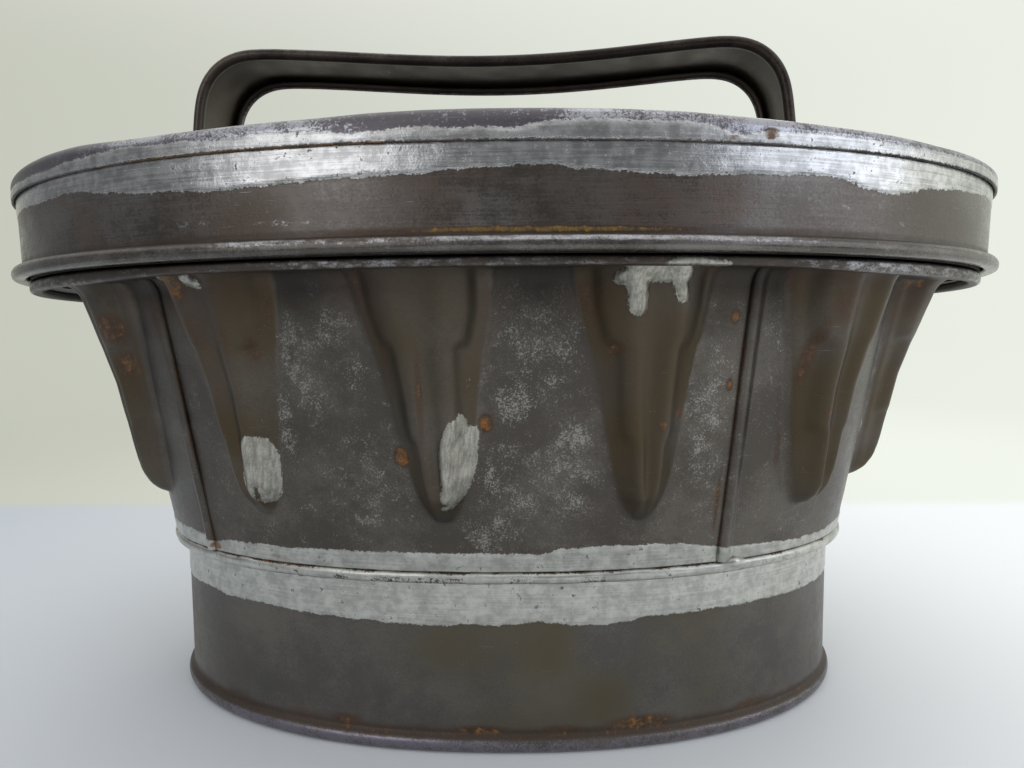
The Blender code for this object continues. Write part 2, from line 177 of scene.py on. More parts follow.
def mottle(along, up, pitch, seed):
    """The same over a surface: random values on a grid of this pitch in mm, joined by smooth steps both ways.
    The grid starts again after 64 rows."""
    count, rows = max(3, round(ROUND_MM / pitch)), 64
    values = np.random.default_rng(seed).uniform(-1, 1, (rows, count))
    at, rise = along / ROUND_MM * count, up / pitch
    low, floor = np.floor(at).astype(int), np.floor(rise).astype(int)
    step, climb = ease(at - low), ease(rise - floor)
    lower, upper = (
        values[row % rows, low % count] * (1 - step) + values[row % rows, (low + 1) % count] * step
        for row in (floor, floor + 1)
    )
    return lower * (1 - climb) + upper * climb


def in_mm(share, height):
    """Places round the oval and heights in mm, each as wide as both together."""
    return share * ROUND_MM + 0 * height, height * 1000 + 0 * share


# Marks: depth inside solder and daubs in mm, strength of the others from 0 to 1.

# The grime mark darkens with dirt and with painted shade in creases, grooves and under overhangs; the bare
# mark lays pale worn specks and painted highlights on beads and the flange.
MARKS = ("solder", "daub", "bare_and_highlight", "rust", "grime_and_shade", "stain")
NONE_NEAR = -5.0


def no_marks(along):
    """Bare sheet: every mark's attribute at nothing."""
    return {key: np.full(along.shape, NONE_NEAR if key in ("solder", "daub") else 0.0) for key in MARKS}


def edge_at(along, corners, ragged=0.35, seed=1):
    """The height of an edge that runs through these (along, height) corners round the oval, made ragged."""
    corners = np.array(corners)
    line = np.interp(front(along), corners[:, 0], corners[:, 1])
    return line + ragged * (0.6 * wander(along, 4.2, seed) + 0.4 * wander(along, 1.6, seed + 1))


def inside_patch(along, up, corners):
    """Signed distance to a closed run of corners, positive inside: the least distance to any side, its sign
    from how often a line to the right crosses the sides."""
    corners = np.array(corners, float)
    ends = np.roll(corners, -1, axis=0)
    point = np.stack([along, up], -1)[..., None, :]
    side = ends - corners
    share = unit(((point - corners) * side).sum(-1) / (side**2).sum(-1))
    near = np.linalg.norm(point - corners - share[..., None] * side, axis=-1).min(-1)
    level = (corners[:, 1] > up[..., None]) != (ends[:, 1] > up[..., None])
    rise = np.where(side[:, 1] == 0, 1e-9, side[:, 1])
    crossing = corners[:, 0] + side[:, 0] * (up[..., None] - corners[:, 1]) / rise
    odd = (level & (crossing > along[..., None])).sum(-1) % 2 == 1
    return np.where(odd, near, -near)


def inside_run(along, up, points):
    """The same for a run of drops, each an (along, height, radius) joined to the next by a tapering neck."""
    found = np.full(along.shape, -50.0)
    for (x1, y1, r1), (x2, y2, r2) in zip(points, points[1:]):
        dx, dy = x2 - x1, y2 - y1
        share = unit(((along - x1) * dx + (up - y1) * dy) / (dx * dx + dy * dy + 1e-9))
        near = np.hypot(along - x1 - share * dx, up - y1 - share * dy)
        found = np.maximum(found, r1 + (r2 - r1) * share - near)
    return found


def spots(along, up, places):
    """Soft spots: each (along, height, half width, half height, strength) fades from its middle to its
    edge."""
    found = np.zeros(along.shape)
    for x, y, wide, high, strength in places:
        far = np.hypot((along - x) / wide, (up - y) / high)
        found = np.maximum(found, strength * fade(far, 0.35, 1.2))
    return found


# Meshes.


def put(name, data):
    """A new object with this data, in the scene."""
    made = bpy.data.objects.new(name, data)
    bpy.context.scene.collection.objects.link(made)
    return made


SHARP_SHEET, SHARP_RING = math.radians(60), math.radians(45)


def sheet(name, points, body, stands_for, finish, marks,
          ring=False, tube=False, inside=None, cap=False):
    """A grid of points, rows by columns, made a mesh of quads that face outwards when rows run up and columns
    run towards +X at the front. ring joins the last column to the first, tube the last row to the first, and
    cap closes the last row with a fan. marks are attributes of the grid's size. inside is the finish of the
    sheet's inner face, which gives it its thickness."""
    rows, columns = points.shape[:2]
    row = np.arange(rows if tube else rows - 1)[:, None]
    column = np.arange(columns if ring else columns - 1)[None]
    across, above = (column + 1) % columns, (row + 1) % rows
    low, high = row * columns, above * columns
    quads = (low + column, low + across, high + across, high + column)
    faces = np.stack(quads, -1).reshape(-1, 4).tolist()
    vertices = points.reshape(-1, 3)
    if cap:
        last = np.arange(columns) + (rows - 1) * columns
        faces += np.stack([last, np.roll(last, -1), np.full(columns, rows * columns)], -1).tolist()
        vertices = np.vstack([vertices, points[-1].mean(0)])
    mesh = bpy.data.meshes.new(name)
    mesh.from_pydata(vertices.tolist(), [], faces)
    for mark in MARKS:
        held = np.zeros(len(vertices), np.float32)
        held[: rows * columns] = np.broadcast_to(marks[mark], (rows, columns)).ravel()
        if cap:
            held[-1] = held[-2]
        mesh.attributes.new(mark, "FLOAT", "POINT").data.foreach_set("value", held)
    mesh.shade_smooth()
    mesh.set_sharp_from_angle(angle=SHARP_SHEET if inside else SHARP_RING)
    piece = put(name, mesh)
    mesh.materials.append(finish)
    if inside:
        mesh.materials.append(inside)
        wall = piece.modifiers.new("wall", "SOLIDIFY")
        wall.thickness = SHEET
        wall.offset = -1
        wall.material_offset = wall.material_offset_rim = 1
    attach(piece, body)
    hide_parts(*stands_for)
    return piece


def arc(centre, radius, start, end, count):
    """Points on a circle from one angle to another, in degrees, anticlockwise from outwards where end is
    greater."""
    angle = np.radians(np.linspace(start, end, count))
    return np.stack([centre[0] + radius * np.cos(angle), centre[1] + radius * np.sin(angle)], -1)


def line(start, end, count):
    """Evenly spaced points from one (offset, height) to another, without the last."""
    share = np.linspace(0, 1, count, endpoint=False)[:, None]
    return np.array(start) * (1 - share) + np.array(end) * share


def runs(*stops):
    """Straight lines through points: a point, the number of steps to the next one, that point, and so on."""
    return np.vstack([line(*stops[k : k + 3 : 2], stops[k + 1]) for k in range(0, len(stops) - 1, 2)])


# The four pressed panels.


def wall_offset(height):
    """The plain wall's offset: it leans out evenly from the top of the foot's fold."""
    return FOLD_OUT - BODY_STEP_IN + FLARE * (height - body_bottom)


def lip(height):
    """How far the panels' top edge has turned out at this height: a quarter of an ellipse."""
    up = unit((height - body_top + LIP_HEIGHT) / LIP_HEIGHT)
    return LIP_OUT * (1 - np.sqrt(1 - up * up))


def metres_round(share, offset):
    """Metres for each whole turn of share, near this share."""
    step = 0.002
    reach = place(share + step, offset, 0) - place(share - step, offset, 0)
    return np.linalg.norm(reach, axis=-1) / (2 * step)


def relief(share, height, index):
    """How far one panel stands off the plain wall, where its ledges and valleys are, and where its flutes
    meet the wall.

    Across a flute the lift is a broad swell with two steps on it, one where a ledge meets the wall and one
    where two lobes stand on the ledge, and a dip between the lobes. Swell and steps take their LIFT_PARTS of
    the full lift. The widths come from the stations, and the middle leans to the left on the way up."""
    offset, side_panel = wall_offset(height), index % 2
    up = unit((height - tip) / (body_top - tip))
    half, inner, lobe = (np.interp(up, STATIONS[:, 0], STATIONS[:, k]) for k in (1, 2, 3))
    side, rim = np.maximum(half, inner + LEAST_LEDGE), inner + 0.0002
    foot = np.maximum(side - 0.0010, rim)
    lobe = lobe * (SIDE_LOBE * (TIP_PART + 0.55 * ease(up, 0, TIP_REACH)) if side_panel else 1)
    swell, ledge_step, lobe_step = LIFT_PARTS[side_panel]
    dip = np.minimum(VALLEY * (SIDE_VALLEY if side_panel else 1), 0.3 * lobe)
    lift, hollow, edge = (np.zeros(np.broadcast(share, height).shape) for _ in range(3))
    for flute in range(3):
        centre = SEAM_AT + (index + (flute + 0.5) / 3) / 4
        across = np.abs((share - centre) * metres_round(centre, offset) + FLUTE_LEAN * up**1.25)
        shape = swell * fade(across, 0.25 * side, side) + ledge_step * fade(across, foot, side + 0.0002)
        shape = lobe * (shape + lobe_step * fade(across, inner - 0.0010, rim))
        shape = shape - dip * fade(across, 0, 0.55 * inner)
        lift = np.maximum(lift, shape * PRESSED[index])
        on_ledge = ease(across, 0.8 * inner, inner) * fade(across, foot, side)
        in_valley = 0.7 * fade(across, 0, 0.4 * inner)
        hollow = np.maximum(hollow, np.maximum(on_ledge, in_valley) * ease(up, 0.0, 0.05))
        contour = fade(np.abs(across - side - 0.0001), 0.0001, 0.0006) * (height > tip - 0.0004)
        inner_contour = 0.6 * fade(np.abs(across - inner), 0.0001, 0.0005) * (up > 0.03)
        edge = np.maximum.reduce([edge, contour, inner_contour])
    return lift, hollow, edge


def seams_of(share, height, index):
    """For each of a panel's two seams, how far every point lies from it into the panel, in metres."""
    for end, sign in ((0, 1), (1, -1)):
        seam = SEAM_AT + (index + end) / 4
        yield (share - seam) * metres_round(seam, wall_offset(height)) * sign


# The fold over a seam, gentler towards its own panel: places across it in seam widths, parts of its lift.
RIDGE_ACROSS, RIDGE_LIFT = (-0.5, -0.4, -0.2, 0.05, 0.35, 0.9), (-0.1, 0.4, 0.88, 1, 0.75, 0)
SEAM_DIP = 0.00025


def seam_shape(share, height, index):
    """The folded edge of an end panel, a ridge over each of its two seams, or the edge of a side panel, which
    dips under that ridge."""
    found = np.zeros(np.broadcast(share, height).shape)
    for across in seams_of(share, height, index):
        if index % 2 == 0:
            ridge = np.interp(across / SEAM_WIDTH, RIDGE_ACROSS, RIDGE_LIFT)
            found = found + SEAM_LIFT * ridge * (across < 0.9 * SEAM_WIDTH)
        else:
            found = found - SEAM_DIP * fade(across, 0.34 * SEAM_WIDTH, 0.47 * SEAM_WIDTH)
    return found


def near_seam(share, height, index):
    """1 in the crease beside each seam of a panel, 0 from about half a millimetre away, and a faint line at
    the other side of an end panel's fold. The panels draw these creases with rust and painted shade."""
    found = np.zeros(np.broadcast(share, height).shape)
    for across in seams_of(share, height, index):
        across = across / SEAM_WIDTH
        crease = 0.5 if index % 2 else -0.46
        found = np.maximum(found, fade(np.abs(across - crease), 0.03, 0.22))
        found = np.maximum(found, (index % 2 == 0) * 0.12 * fade(np.abs(across - 0.86), 0.0, 0.2))
    return found


def make_panel(index, name):
    """One panel: plain wall, flutes, seams, slow waves of hand work, and solder that stands a little
    proud."""
    start, end = SEAM_AT + index / 4, SEAM_AT + (index + 1) / 4
    inset = SEAM_WIDTH / 2 - 0.001 if index % 2 else -SEAM_WIDTH / 2
    lip_starts = body_top - 0.004
    bands = ((body_bottom, tip - 0.001, 24), (tip - 0.001, tip + 0.005, 20), (tip + 0.005, lip_starts, 88))
    height = [np.linspace(low, high, count, endpoint=False) for low, high, count in bands]
    height = [[body_bottom - PANEL_SINK], *height, np.linspace(lip_starts, body_top, 14)]
    height = np.concatenate(height)[:, None]
    metre = metres_round(start, wall_offset(height)), metres_round(end, wall_offset(height))
    reach = np.linspace(0, 1, COLUMNS["panel"])[None]
    share = (start + inset / metre[0]) * (1 - reach) + (end - inset / metre[1]) * reach
    lift, hollow, edge = relief(share, height, index)
    lift = soften(lift, 3)
    # Creases beside the seams and along the flutes' contours, drawn dark: rust, and painted shade in the
    # crease.
    crease = np.maximum(near_seam(share, height, index), 0.4 * edge)
    along, up = in_mm(share, height)
    marks = body_marks(along, up, lift * 1000, hollow, crease, index)
    waves = WAVE * mottle(along, up, 17, 40 + index) + RIPPLE * mottle(along, up, 5, 50 + index)
    waves = waves * ease(height, body_bottom, body_bottom + 0.006)
    waves = waves * fade(height, body_top - 0.005, body_top)
    rough = 1 + 0.4 * mottle(along, up, 1.7, 60 + index)
    mound = 0.16 * ease(marks["solder"], -0.2, 0.7) * rough
    mound = mound + 0.38 * ease(marks["daub"], -0.2, 0.7) * rough
    drop = unit(marks.pop("drop") / 2.0)
    mound = (mound + 0.75 * np.sqrt(1 - (1 - drop) ** 2) * rough) / 1000
    offset = wall_offset(height) + lip(height) + lift + seam_shape(share, height, index) + waves + mound
    solid = f"body_panel_{index + 1}"
    points = place(share, offset, height)
    sheet(name, points, "mould", [solid], body_tin, marks, inside=inside_tin)


# Marks are placed in mm: round the oval from the middle of the front to the right, and up from the table.
# An edge or a patch is a run of (along, up), a drip is a run of (along, up, radius), and a spot is (along,
# up, half width, half height, strength).
BODY_SOLDER_EDGE = (
    (-242, 45.5), (-200, 45.9), (-150, 45.2), (-110, 45.6), (-97, 44.6), (-81, 45), (-74, 44.8),
    (-69.8, 43.7), (-65, 44.6), (-54.8, 44.9), (-46.5, 45), (-36.5, 45.4), (-16.2, 45.5), (4.9, 45.6),
    (9.1, 45), (13.2, 46.4), (21.7, 46.8), (39.4, 46.5), (44.2, 45.6), (49.8, 44.6), (63, 43.9),
    (73.6, 43.4), (82.6, 43.5), (93.6, 44.3), (120, 45), (160, 45.6), (200, 45.2), (242, 45.5),
)
PATCH_LEFT = (
    (-50.2, 69.5), (-48.9, 70.8), (-47.4, 70.5), (-46.1, 69.8), (-45.5, 68.2), (-44.9, 65.8), (-45.1, 63),
    (-45.5, 60), (-46.3, 57.2), (-47.6, 55.8), (-49.2, 55.8), (-50.6, 57.2), (-51.3, 59.2), (-51.5, 62),
    (-51.1, 66.8),
)
PATCH_RIGHT = (
    (-6.2, 75.8), (-5.1, 74.5), (-4.7, 73), (-3.3, 73), (-3, 71.5), (-3.3, 66.5), (-4.4, 61.5),
    (-6.1, 58.5), (-8.5, 56.2), (-10.3, 55.8), (-10.7, 56.2), (-9.2, 57), (-10.3, 57.8), (-10.4, 59.5),
    (-9.8, 61), (-10.3, 62.8), (-10.2, 68.2), (-9.4, 71.5), (-8.5, 73.8), (-7.1, 74.5),
)
DRIPS = (
    ((22, 100.8, 1.3), (24.4, 101.4, 1.6), (28, 101.8, 1.9), (32, 101.4, 1.5)),
    ((24.2, 101.8, 2.1), (24.9, 95.6, 1.6)), ((31, 101.4, 1.3), (32.4, 97.2, 1)),
    ((-61.8, 103.2, 1.1), (-60.8, 103.3, 0.8)), ((-53.4, 101.9, 1.2), (-51.8, 101, 0.9)),
)
BODY_RUST = (
    (-18.6, 66.4, 2.3, 3, 0.95), (-1.6, 73.5, 1.9, 2.6, 0.95), (46.2, 94, 1.2, 2, 0.9),
    (46.7, 80.3, 1, 1.9, 0.88), (35.5, 75.2, 1.6, 1.8, 0.75), (31.5, 72.8, 1.2, 1.5, 0.7),
    (99.2, 102.3, 3, 3, 0.7), (-86.3, 93, 3.6, 5, 0.7), (-86, 84.5, 3, 4.6, 0.7),
    (-58, 100.5, 4.6, 4.6, 0.8), (22, 87.8, 2, 1.7, 0.6), (64.5, 96, 4, 6, 0.5), (76, 90, 2.6, 9, 0.5),
    (-98, 78, 3, 8, 0.5), (-55, 92, 3, 6, 0.45), (150, 88, 2.4, 3.6, 0.9), (-150, 71, 2, 3, 0.85),
    (205, 79, 2.6, 2.2, 0.8), (-205, 92, 2, 3.2, 0.8), (238, 66, 1.8, 2.6, 0.9), (-13.2, 79, 0.9, 13, 0.5),
    (-13.3, 80.5, 0.6, 2, 0.76), (-22.8, 98, 1.3, 9, 0.5), (-20.4, 86, 1, 9, 0.42),
    (-58.4, 97, 2.2, 8, 0.6), (-57.2, 84, 1.6, 9, 0.42), (-49.2, 91.2, 1.6, 4, 0.5),
    (-45.4, 88.6, 1.2, 4, 0.5), (61.6, 86, 1.5, 10, 0.6), (60.8, 66, 1.2, 7, 0.5),
    (66.9, 74, 0.9, 1.6, 0.72), (73.4, 88, 1.5, 10, 0.5), (79.3, 84, 1.3, 9, 0.56), (-73, 96, 4, 8, 0.62),
    (-67, 99, 3, 4, 0.6), (47, 55, 0.7, 9, 0.7), (-69.2, 42.6, 2.4, 1.6, 0.95), (-50.5, 42.6, 2.6, 1, 0.8),
    (26.2, 94.5, 0.9, 1, 0.7), (-53, 88, 7, 18, 0.32),
)
WORN_WALL = (
    (-39.6, 88, 2.6, 9, 0.9), (-42.4, 72, 2.2, 10, 0.75), (-33.2, 100.5, 2.2, 2.2, 0.7),
    (-30.8, 92.5, 4.4, 4.4, 0.7), (-27.6, 83, 4.4, 3.6, 0.55), (-28.2, 69.4, 4.2, 1.6, 0.6),
    (-27.8, 52.8, 5.6, 1.6, 0.75), (-19.2, 56.6, 3.2, 2.2, 0.55), (6.4, 93, 5.6, 10, 0.5),
    (4.2, 77.5, 5, 6, 0.75), (9, 84, 5, 8, 0.5), (-1, 62, 1.6, 4.5, 0.75), (-0.5, 50.2, 7.5, 5.5, 0.8),
    (12.6, 91, 4.4, 12.5, 0.45), (15.4, 69, 4.4, 8, 0.7), (14.4, 56, 6.2, 3.6, 0.65),
    (42.6, 74, 6, 16, 0.55), (-57, 80, 2.6, 9, 0.4), (55, 92, 3, 8, 0.3), (90, 62, 6, 8, 0.2),
    (3.5, 62, 9, 12, 0.5), (14, 63, 7, 10, 0.5), (-27, 62, 9, 12, 0.36), (-36, 80, 4, 14, 0.45),
)


def body_marks(along, up, lift, hollow, crease, index):
    """Solder, rust, worn speckle, dirt, olive stain and painted shade of the panels, from what the front
    shows, and by chance and in the same manner round the back. The shade darkens the wall under the brim, the
    creases and the flutes towards the brim. The drops are daubs that stand prouder than the others."""
    turn = front(along)
    plain, seen = fade(lift, 0.15, 0.9), between(turn, -95, 95, 12)
    chance = np.clip(0.15 + 0.75 * mottle(along, up, 10, 71) + 0.3 * mottle(along, up, 24, 73), 0, 0.8)
    worn = spots(turn, up, WORN_WALL) * (0.75 + 0.35 * mottle(along, up, 2.6, 74))
    daub = drop = np.full(along.shape, NONE_NEAR)
    if index == 3:
        gap = inside_run(turn, up, ((-48.9, 59.6, 0.12), (-49.5, 57.0, 0.3)))
        left = np.minimum(inside_patch(turn, up, PATCH_LEFT), -gap - 0.1)
        drop = np.maximum.reduce([inside_run(turn, up, run) for run in DRIPS])
        daub = np.maximum.reduce([left, inside_patch(turn, up, PATCH_RIGHT), drop])
    under_brim, deep = ease(up, 84, 103), ease(lift, 0.6, 2.5)
    in_crease = 0.66 * crease * (0.75 + 0.4 * wander(up + 3 * along, 6, 77))
    on_edge = ease(lift, 0.3, 1.2) * fade(lift, 1.6, 2.6) * (0.3 + 0.4 * mottle(along, up, 6, 78))
    brown = 0.42 * under_brim * unit(0.55 + 0.8 * mottle(along, up, 8, 76)) + 0.35 * unit(on_edge)
    # Painted shade: the plain wall darkens towards the brim, most of all right under it.
    shade = 0.6 * plain * ease(up, 80, 103) * (0.8 + 0.4 * mottle(along, up, 9, 80))
    shade = 0.25 * ease(up, 96, 103.5) + shade
    stain = unit(np.maximum(hollow, 0.95 * deep) * (0.68 + 0.4 * mottle(along, up, 9, 31 + index)))
    return dict(
        daub=daub, drop=drop, solder=edge_at(along, BODY_SOLDER_EDGE, 0.3, 3) - up,
        bare_and_highlight=plain * unit(0.3 + 0.9 * worn * seen + chance * (1 - seen)),
        rust=unit(np.maximum.reduce([spots(turn, up, BODY_RUST), in_crease, brown])),
        # Painted shade with some dirt: under the brim, in the creases and on the flutes, more towards the
        # brim.
        grime_and_shade=unit(shade + 0.2 * crease + deep * (0.05 + 0.12 * ease(up, 72, 98))),
        stain=np.maximum(stain, 0.35 * under_brim + 0.25 * unit(mottle(along, up, 20, 79))),
    )


# Rings: closed profiles carried round the oval.


def shares_round(count):
    """Even shares of the way round, in one row."""
    return np.arange(count)[None] / count - 0.5


def solder_mound(proud, solder, along, up):
    """How far solder stands off its sheet: up to about this much, a little uneven."""
    return proud * ease(solder, -0.2, 0.8) * (1 + 0.12 * mottle(along, up, 1.9, 5))


def make_ring(name, profile, body, stands_for, finish, marks_of, proud, swell=None):
    """A closed profile of (offset, height) points, anticlockwise, carried round the oval. marks_of gives its
    marks from the place round, the height and the offset in mm. Solder stands proud by this much, and swell
    adds lumps of its own, both square to the profile."""
    share = shares_round(COLUMNS[name])
    offset, height = profile[:, :1], profile[:, 1:]
    along, up = in_mm(share, height)
    marks = marks_of(along, up, offset * 1000 + 0 * along)
    step = np.roll(profile, -1, 0) - np.roll(profile, 1, 0)
    step = step / np.linalg.norm(step, axis=1, keepdims=True)
    out, rise = step[:, 1:], -step[:, :1]
    mound = solder_mound(proud, marks["solder"], along, up)
    mound = (mound + (swell(along, up, offset * 1000) if swell else 0)) / 1000
    points = place(share, offset + mound * out, height + mound * rise)
    return sheet(name, points, body, stands_for, finish, marks, ring=True, tube=True)


FOOT_SOLDER_EDGE = (
    (-242, 29.5), (-180, 30.2), (-130, 29.2), (-90, 29.3), (-82.5, 29.8), (-69.9, 29.5), (-59, 29.7),
    (-49.9, 29.1), (-39, 29.2), (-29.1, 28.8), (-19.7, 28.5), (-8.5, 28.6), (0.4, 28.7), (9.2, 29.4),
    (15.8, 28.7), (22.5, 28.1), (31.8, 29.2), (51.9, 29.6), (63.8, 29.6), (74.9, 29.2), (93, 29.1),
    (150, 29.8), (200, 28.9), (242, 29.5),
)
CREASE_RUST = (
    (-47, 5, 9, 2.2, 0.5), (-35.5, 5.4, 6, 2.4, 0.66), (-4.5, 5, 9, 1.6, 0.74), (14, 5, 8, 1.6, 0.6),
    (32.5, 5.6, 11, 2.4, 0.72), (62, 5.2, 9, 2, 0.6), (-68, 5.2, 7, 2, 0.5),
)


def foot_marks(along, up, out):
    """The foot: solder below and over the folded seam, a rusty line along the seam's top, rust and painted
    shade in the crease above the bead, painted shade in the groove under the seam's nose, and a painted
    highlight on the bead at the front left."""
    turn, outside = front(along), out > -0.3
    low, top = fade(up, 2.6, 4.4), 41.05 + 0.3 * wander(along, 3.5, 12)
    solder = np.minimum(up - edge_at(along, FOOT_SOLDER_EDGE, 0.35, 11), top - up)
    glob = inside_run(turn, up, ((51.0, 41.0, 1.2), (54.6, 40.9, 1.5)))
    # Painted shade in the groove under the nose of the folded seam, broken up along its length.
    groove = fade(np.abs(up - 38.7), 0.35, 1.1) * (0.4 + 0.5 * wander(along, 1.2, 17)) * outside
    gone = unit(0.45 + 0.4 * between(turn, -44, 20, 10) + 0.5 * wander(along, 5, 18))
    broken = between(up, 38.5, 39.9, 0.5) * gone
    seam_rust = 0.5 + 0.2 * wander(along, 7, 13) + 0.25 * between(turn, -76, -48, 5)
    seam_rust = ease(up, 40.6, 41.0) * seam_rust
    crease = fade(up, 4.4, 6.8) * ease(up, 2.9, 3.6) * outside
    patches = spots(turn, up, CREASE_RUST) + 0.55 * (1 - between(turn, -80, 80, 10)) * wander(along, 9, 14)
    tint = 0.22 * unit(wander(along, 11, 16)) * ease(up, 5, 12) * fade(up, 22, 29)
    return dict(
        no_marks(along),
        solder=np.minimum(np.where(outside, np.maximum(solder, glob), -3), 1.3 - 1.25 * broken),
        rust=unit(np.maximum.reduce([seam_rust, 0.55 * crease, patches * outside]) + tint),
        # Dark: painted shade in the groove and in the crease above the bead, and a dark line along the seam's
        # top.
        grime_and_shade=unit(groove + 0.5 * crease + 0.25 * ease(up, 40.8, 41.1)),
        # Purple-grey specks over the bead, and more at the front left, where they paint its highlight.
        bare_and_highlight=low * (1.0 + 0.4 * ease(up, 1.2, 2.2) * between(turn, -64, -10, 12)),
        stain=unit(0.1 + 0.5 * mottle(along, up, 12, 15) + 0.4 * between(turn, 0, 34, 40)) * (1 - low),
    )


def foot_glob(along, up, out):
    """A bright glob of solder at the foot of the right-hand seam, a rounded bump."""
    turn = front(along)
    return GLOB_HIGH * np.exp(-(((turn - GLOB_AT) / GLOB_WIDTH) ** 2)) * ease(up, 39.4, 40.8) * (out > 1.0)


def make_foot():
    """The foot's band: the rolled edge below, the upright wall, and the nose of the folded seam on top."""
    roll = FOOT_WIRE + GAP + SHEET
    centre = (FOOT_BEAD_OUT - roll, roll)
    bottom, top = FOOT_HEIGHT, FOOT_HEIGHT + FOLD_HEIGHT
    nose = np.array([(math.cos(a) ** 0.7, math.sin(a)) for a in np.linspace(-1.45, 1.45, 15)])
    nose = nose * (0.35 * FOLD_OUT, 0.5 * FOLD_HEIGHT) + (0.65 * FOLD_OUT, (bottom + top) / 2)
    outside = runs((0.0001, 0.0044), 3, (0, 0.0052), 44, (0, bottom - 0.0004), 3, (0.0005, bottom), 3,
                   (0.65 * FOLD_OUT, bottom))
    inside = runs((0.6 * FOLD_OUT, top), 4, (-SHEET, top), 8, (-SHEET, 2 * roll), 1, centre)
    rolled = arc(centre, roll - SHEET, 55, -235, 16)
    profile = np.vstack([arc(centre, roll, -235, 52, 30), outside, nose, inside, rolled])
    make_ring("foot", profile, "mould", ["foot_band"], foot_tin, foot_marks,
              proud=0.16, swell=foot_glob)


HOOP_SMEAR = (
    (26.4, 102.2, 0.3), (28.4, 102.6, 0.8), (30.8, 102.7, 0.8), (32.4, 102.2, 0.45), (35, 102.1, 0.4),
)


def brim_marks(along, up, out):
    """The brim and its hoop: mottled wear along the hoop's face, brown and dull elsewhere, and a smear of
    solder."""
    turn, face = front(along), ease(out, 29.6, 30.6)
    return dict(
        no_marks(along), daub=inside_run(turn, up, HOOP_SMEAR), grime_and_shade=0.7 * (1 - face), stain=0.5,
        rust=unit(0.3 + 0.25 * mottle(along, up, 8, 21)) * (1 - 0.5 * face),
        bare_and_highlight=face * unit(0.74 + 0.3 * wander(along, 20, 22)),
    )


def make_brim():
    """The hoop's rolled edge, beaten flatter along the front, and the flat brim, whose inner edge follows the
    panels' fluted mouth."""
    roll = HOOP_WIRE + GAP + SHEET
    centre = (HOOP_OFFSET, body_top - roll)
    count, steps = COLUMNS["brim"], 12
    share = shares_round(count)
    mouth = np.zeros(share.shape)
    for index in range(4):
        start = SEAM_AT + index / 4
        here = (share - start) % 1 + start
        lift = relief(here, np.full((1, 1), body_top), index)[0]
        mouth = np.where(here < start + 0.25, np.maximum(mouth, lift), mouth)
        ridge = np.abs((share - start + 0.5) % 1 - 0.5) * metres_round(start, wall_offset(body_top))
        mouth = np.maximum(mouth, SEAM_LIFT * fade(ridge, 0.3 * SEAM_WIDTH, 0.6 * SEAM_WIDTH))
    mouth = wall_offset(body_top) + LIP_OUT + mouth + 0.0001
    outer = (arc(centre, roll, -190, 90, 26) - centre) / roll
    outer = centre + roll * np.sign(outer) * np.abs(outer) ** BEAD_SQUARE
    inner = arc(centre, roll - SHEET, 90, -190, 12)
    reach = np.linspace(0, 1, steps)[:, None]
    top = np.stack([HOOP_OFFSET + (mouth - HOOP_OFFSET) * reach, np.full((steps, count), body_top)], -1)[1:]
    under = mouth + (HOOP_OFFSET - mouth) * reach
    under = np.stack([under, np.full((steps, count), body_top - SHEET)], -1)[:-1]
    outer, inner = (np.broadcast_to(part[:, None], (len(part), count, 2)) for part in (outer, inner))
    offset, height = np.moveaxis(np.concatenate([outer, top, under, inner]), -1, 0)
    flat = 1 - HOOP_FLAT * between(front(share * ROUND_MM), -45, 38, 28)
    height = body_top - (body_top - height) * flat
    marks = brim_marks(*in_mm(share, height), offset * 1000)
    swell = 0.00025 * ease(marks["daub"], -0.2, 0.6) * (offset > 0.029)
    points = place(share, offset + swell, height)
    sheet("brim", points, "mould", ["brim"], brim_tin, marks, ring=True, tube=True)


def collar_marks(along, up, out):
    """The collar, which the lid covers: brown and dull at its foot, worn pale at its top edge. It takes out
    as the other rings' marks do."""
    return dict(
        no_marks(along), rust=unit(0.15 + 0.3 * mottle(along, up, 10, 24)), grime_and_shade=0.6 * fade(up, 104, 108),
        bare_and_highlight=0.4 * ease(up, 122, 125) + 0.3 * unit(mottle(along, up, 9, 27)),
        stain=0.5 * fade(up, 104, 114),
    )


def make_collar():
    """The upright collar: a plain strip with its top edge eased."""
    bottom, inside, ease_up, ease_in = body_top + GAP, collar_outer - SHEET, 0.0002, 0.00015
    shoulder = collar_top - ease_up
    profile = runs((inside, bottom), 2, (collar_outer, bottom), 20, (collar_outer, shoulder), 1,
                   (collar_outer - ease_in, collar_top), 1, (inside + ease_in, collar_top), 1,
                   (inside, shoulder), 12, (inside, bottom))
    make_ring("collar", profile, "mould", ["mouth_collar"], brim_tin, collar_marks,
              proud=0)


# The lid.

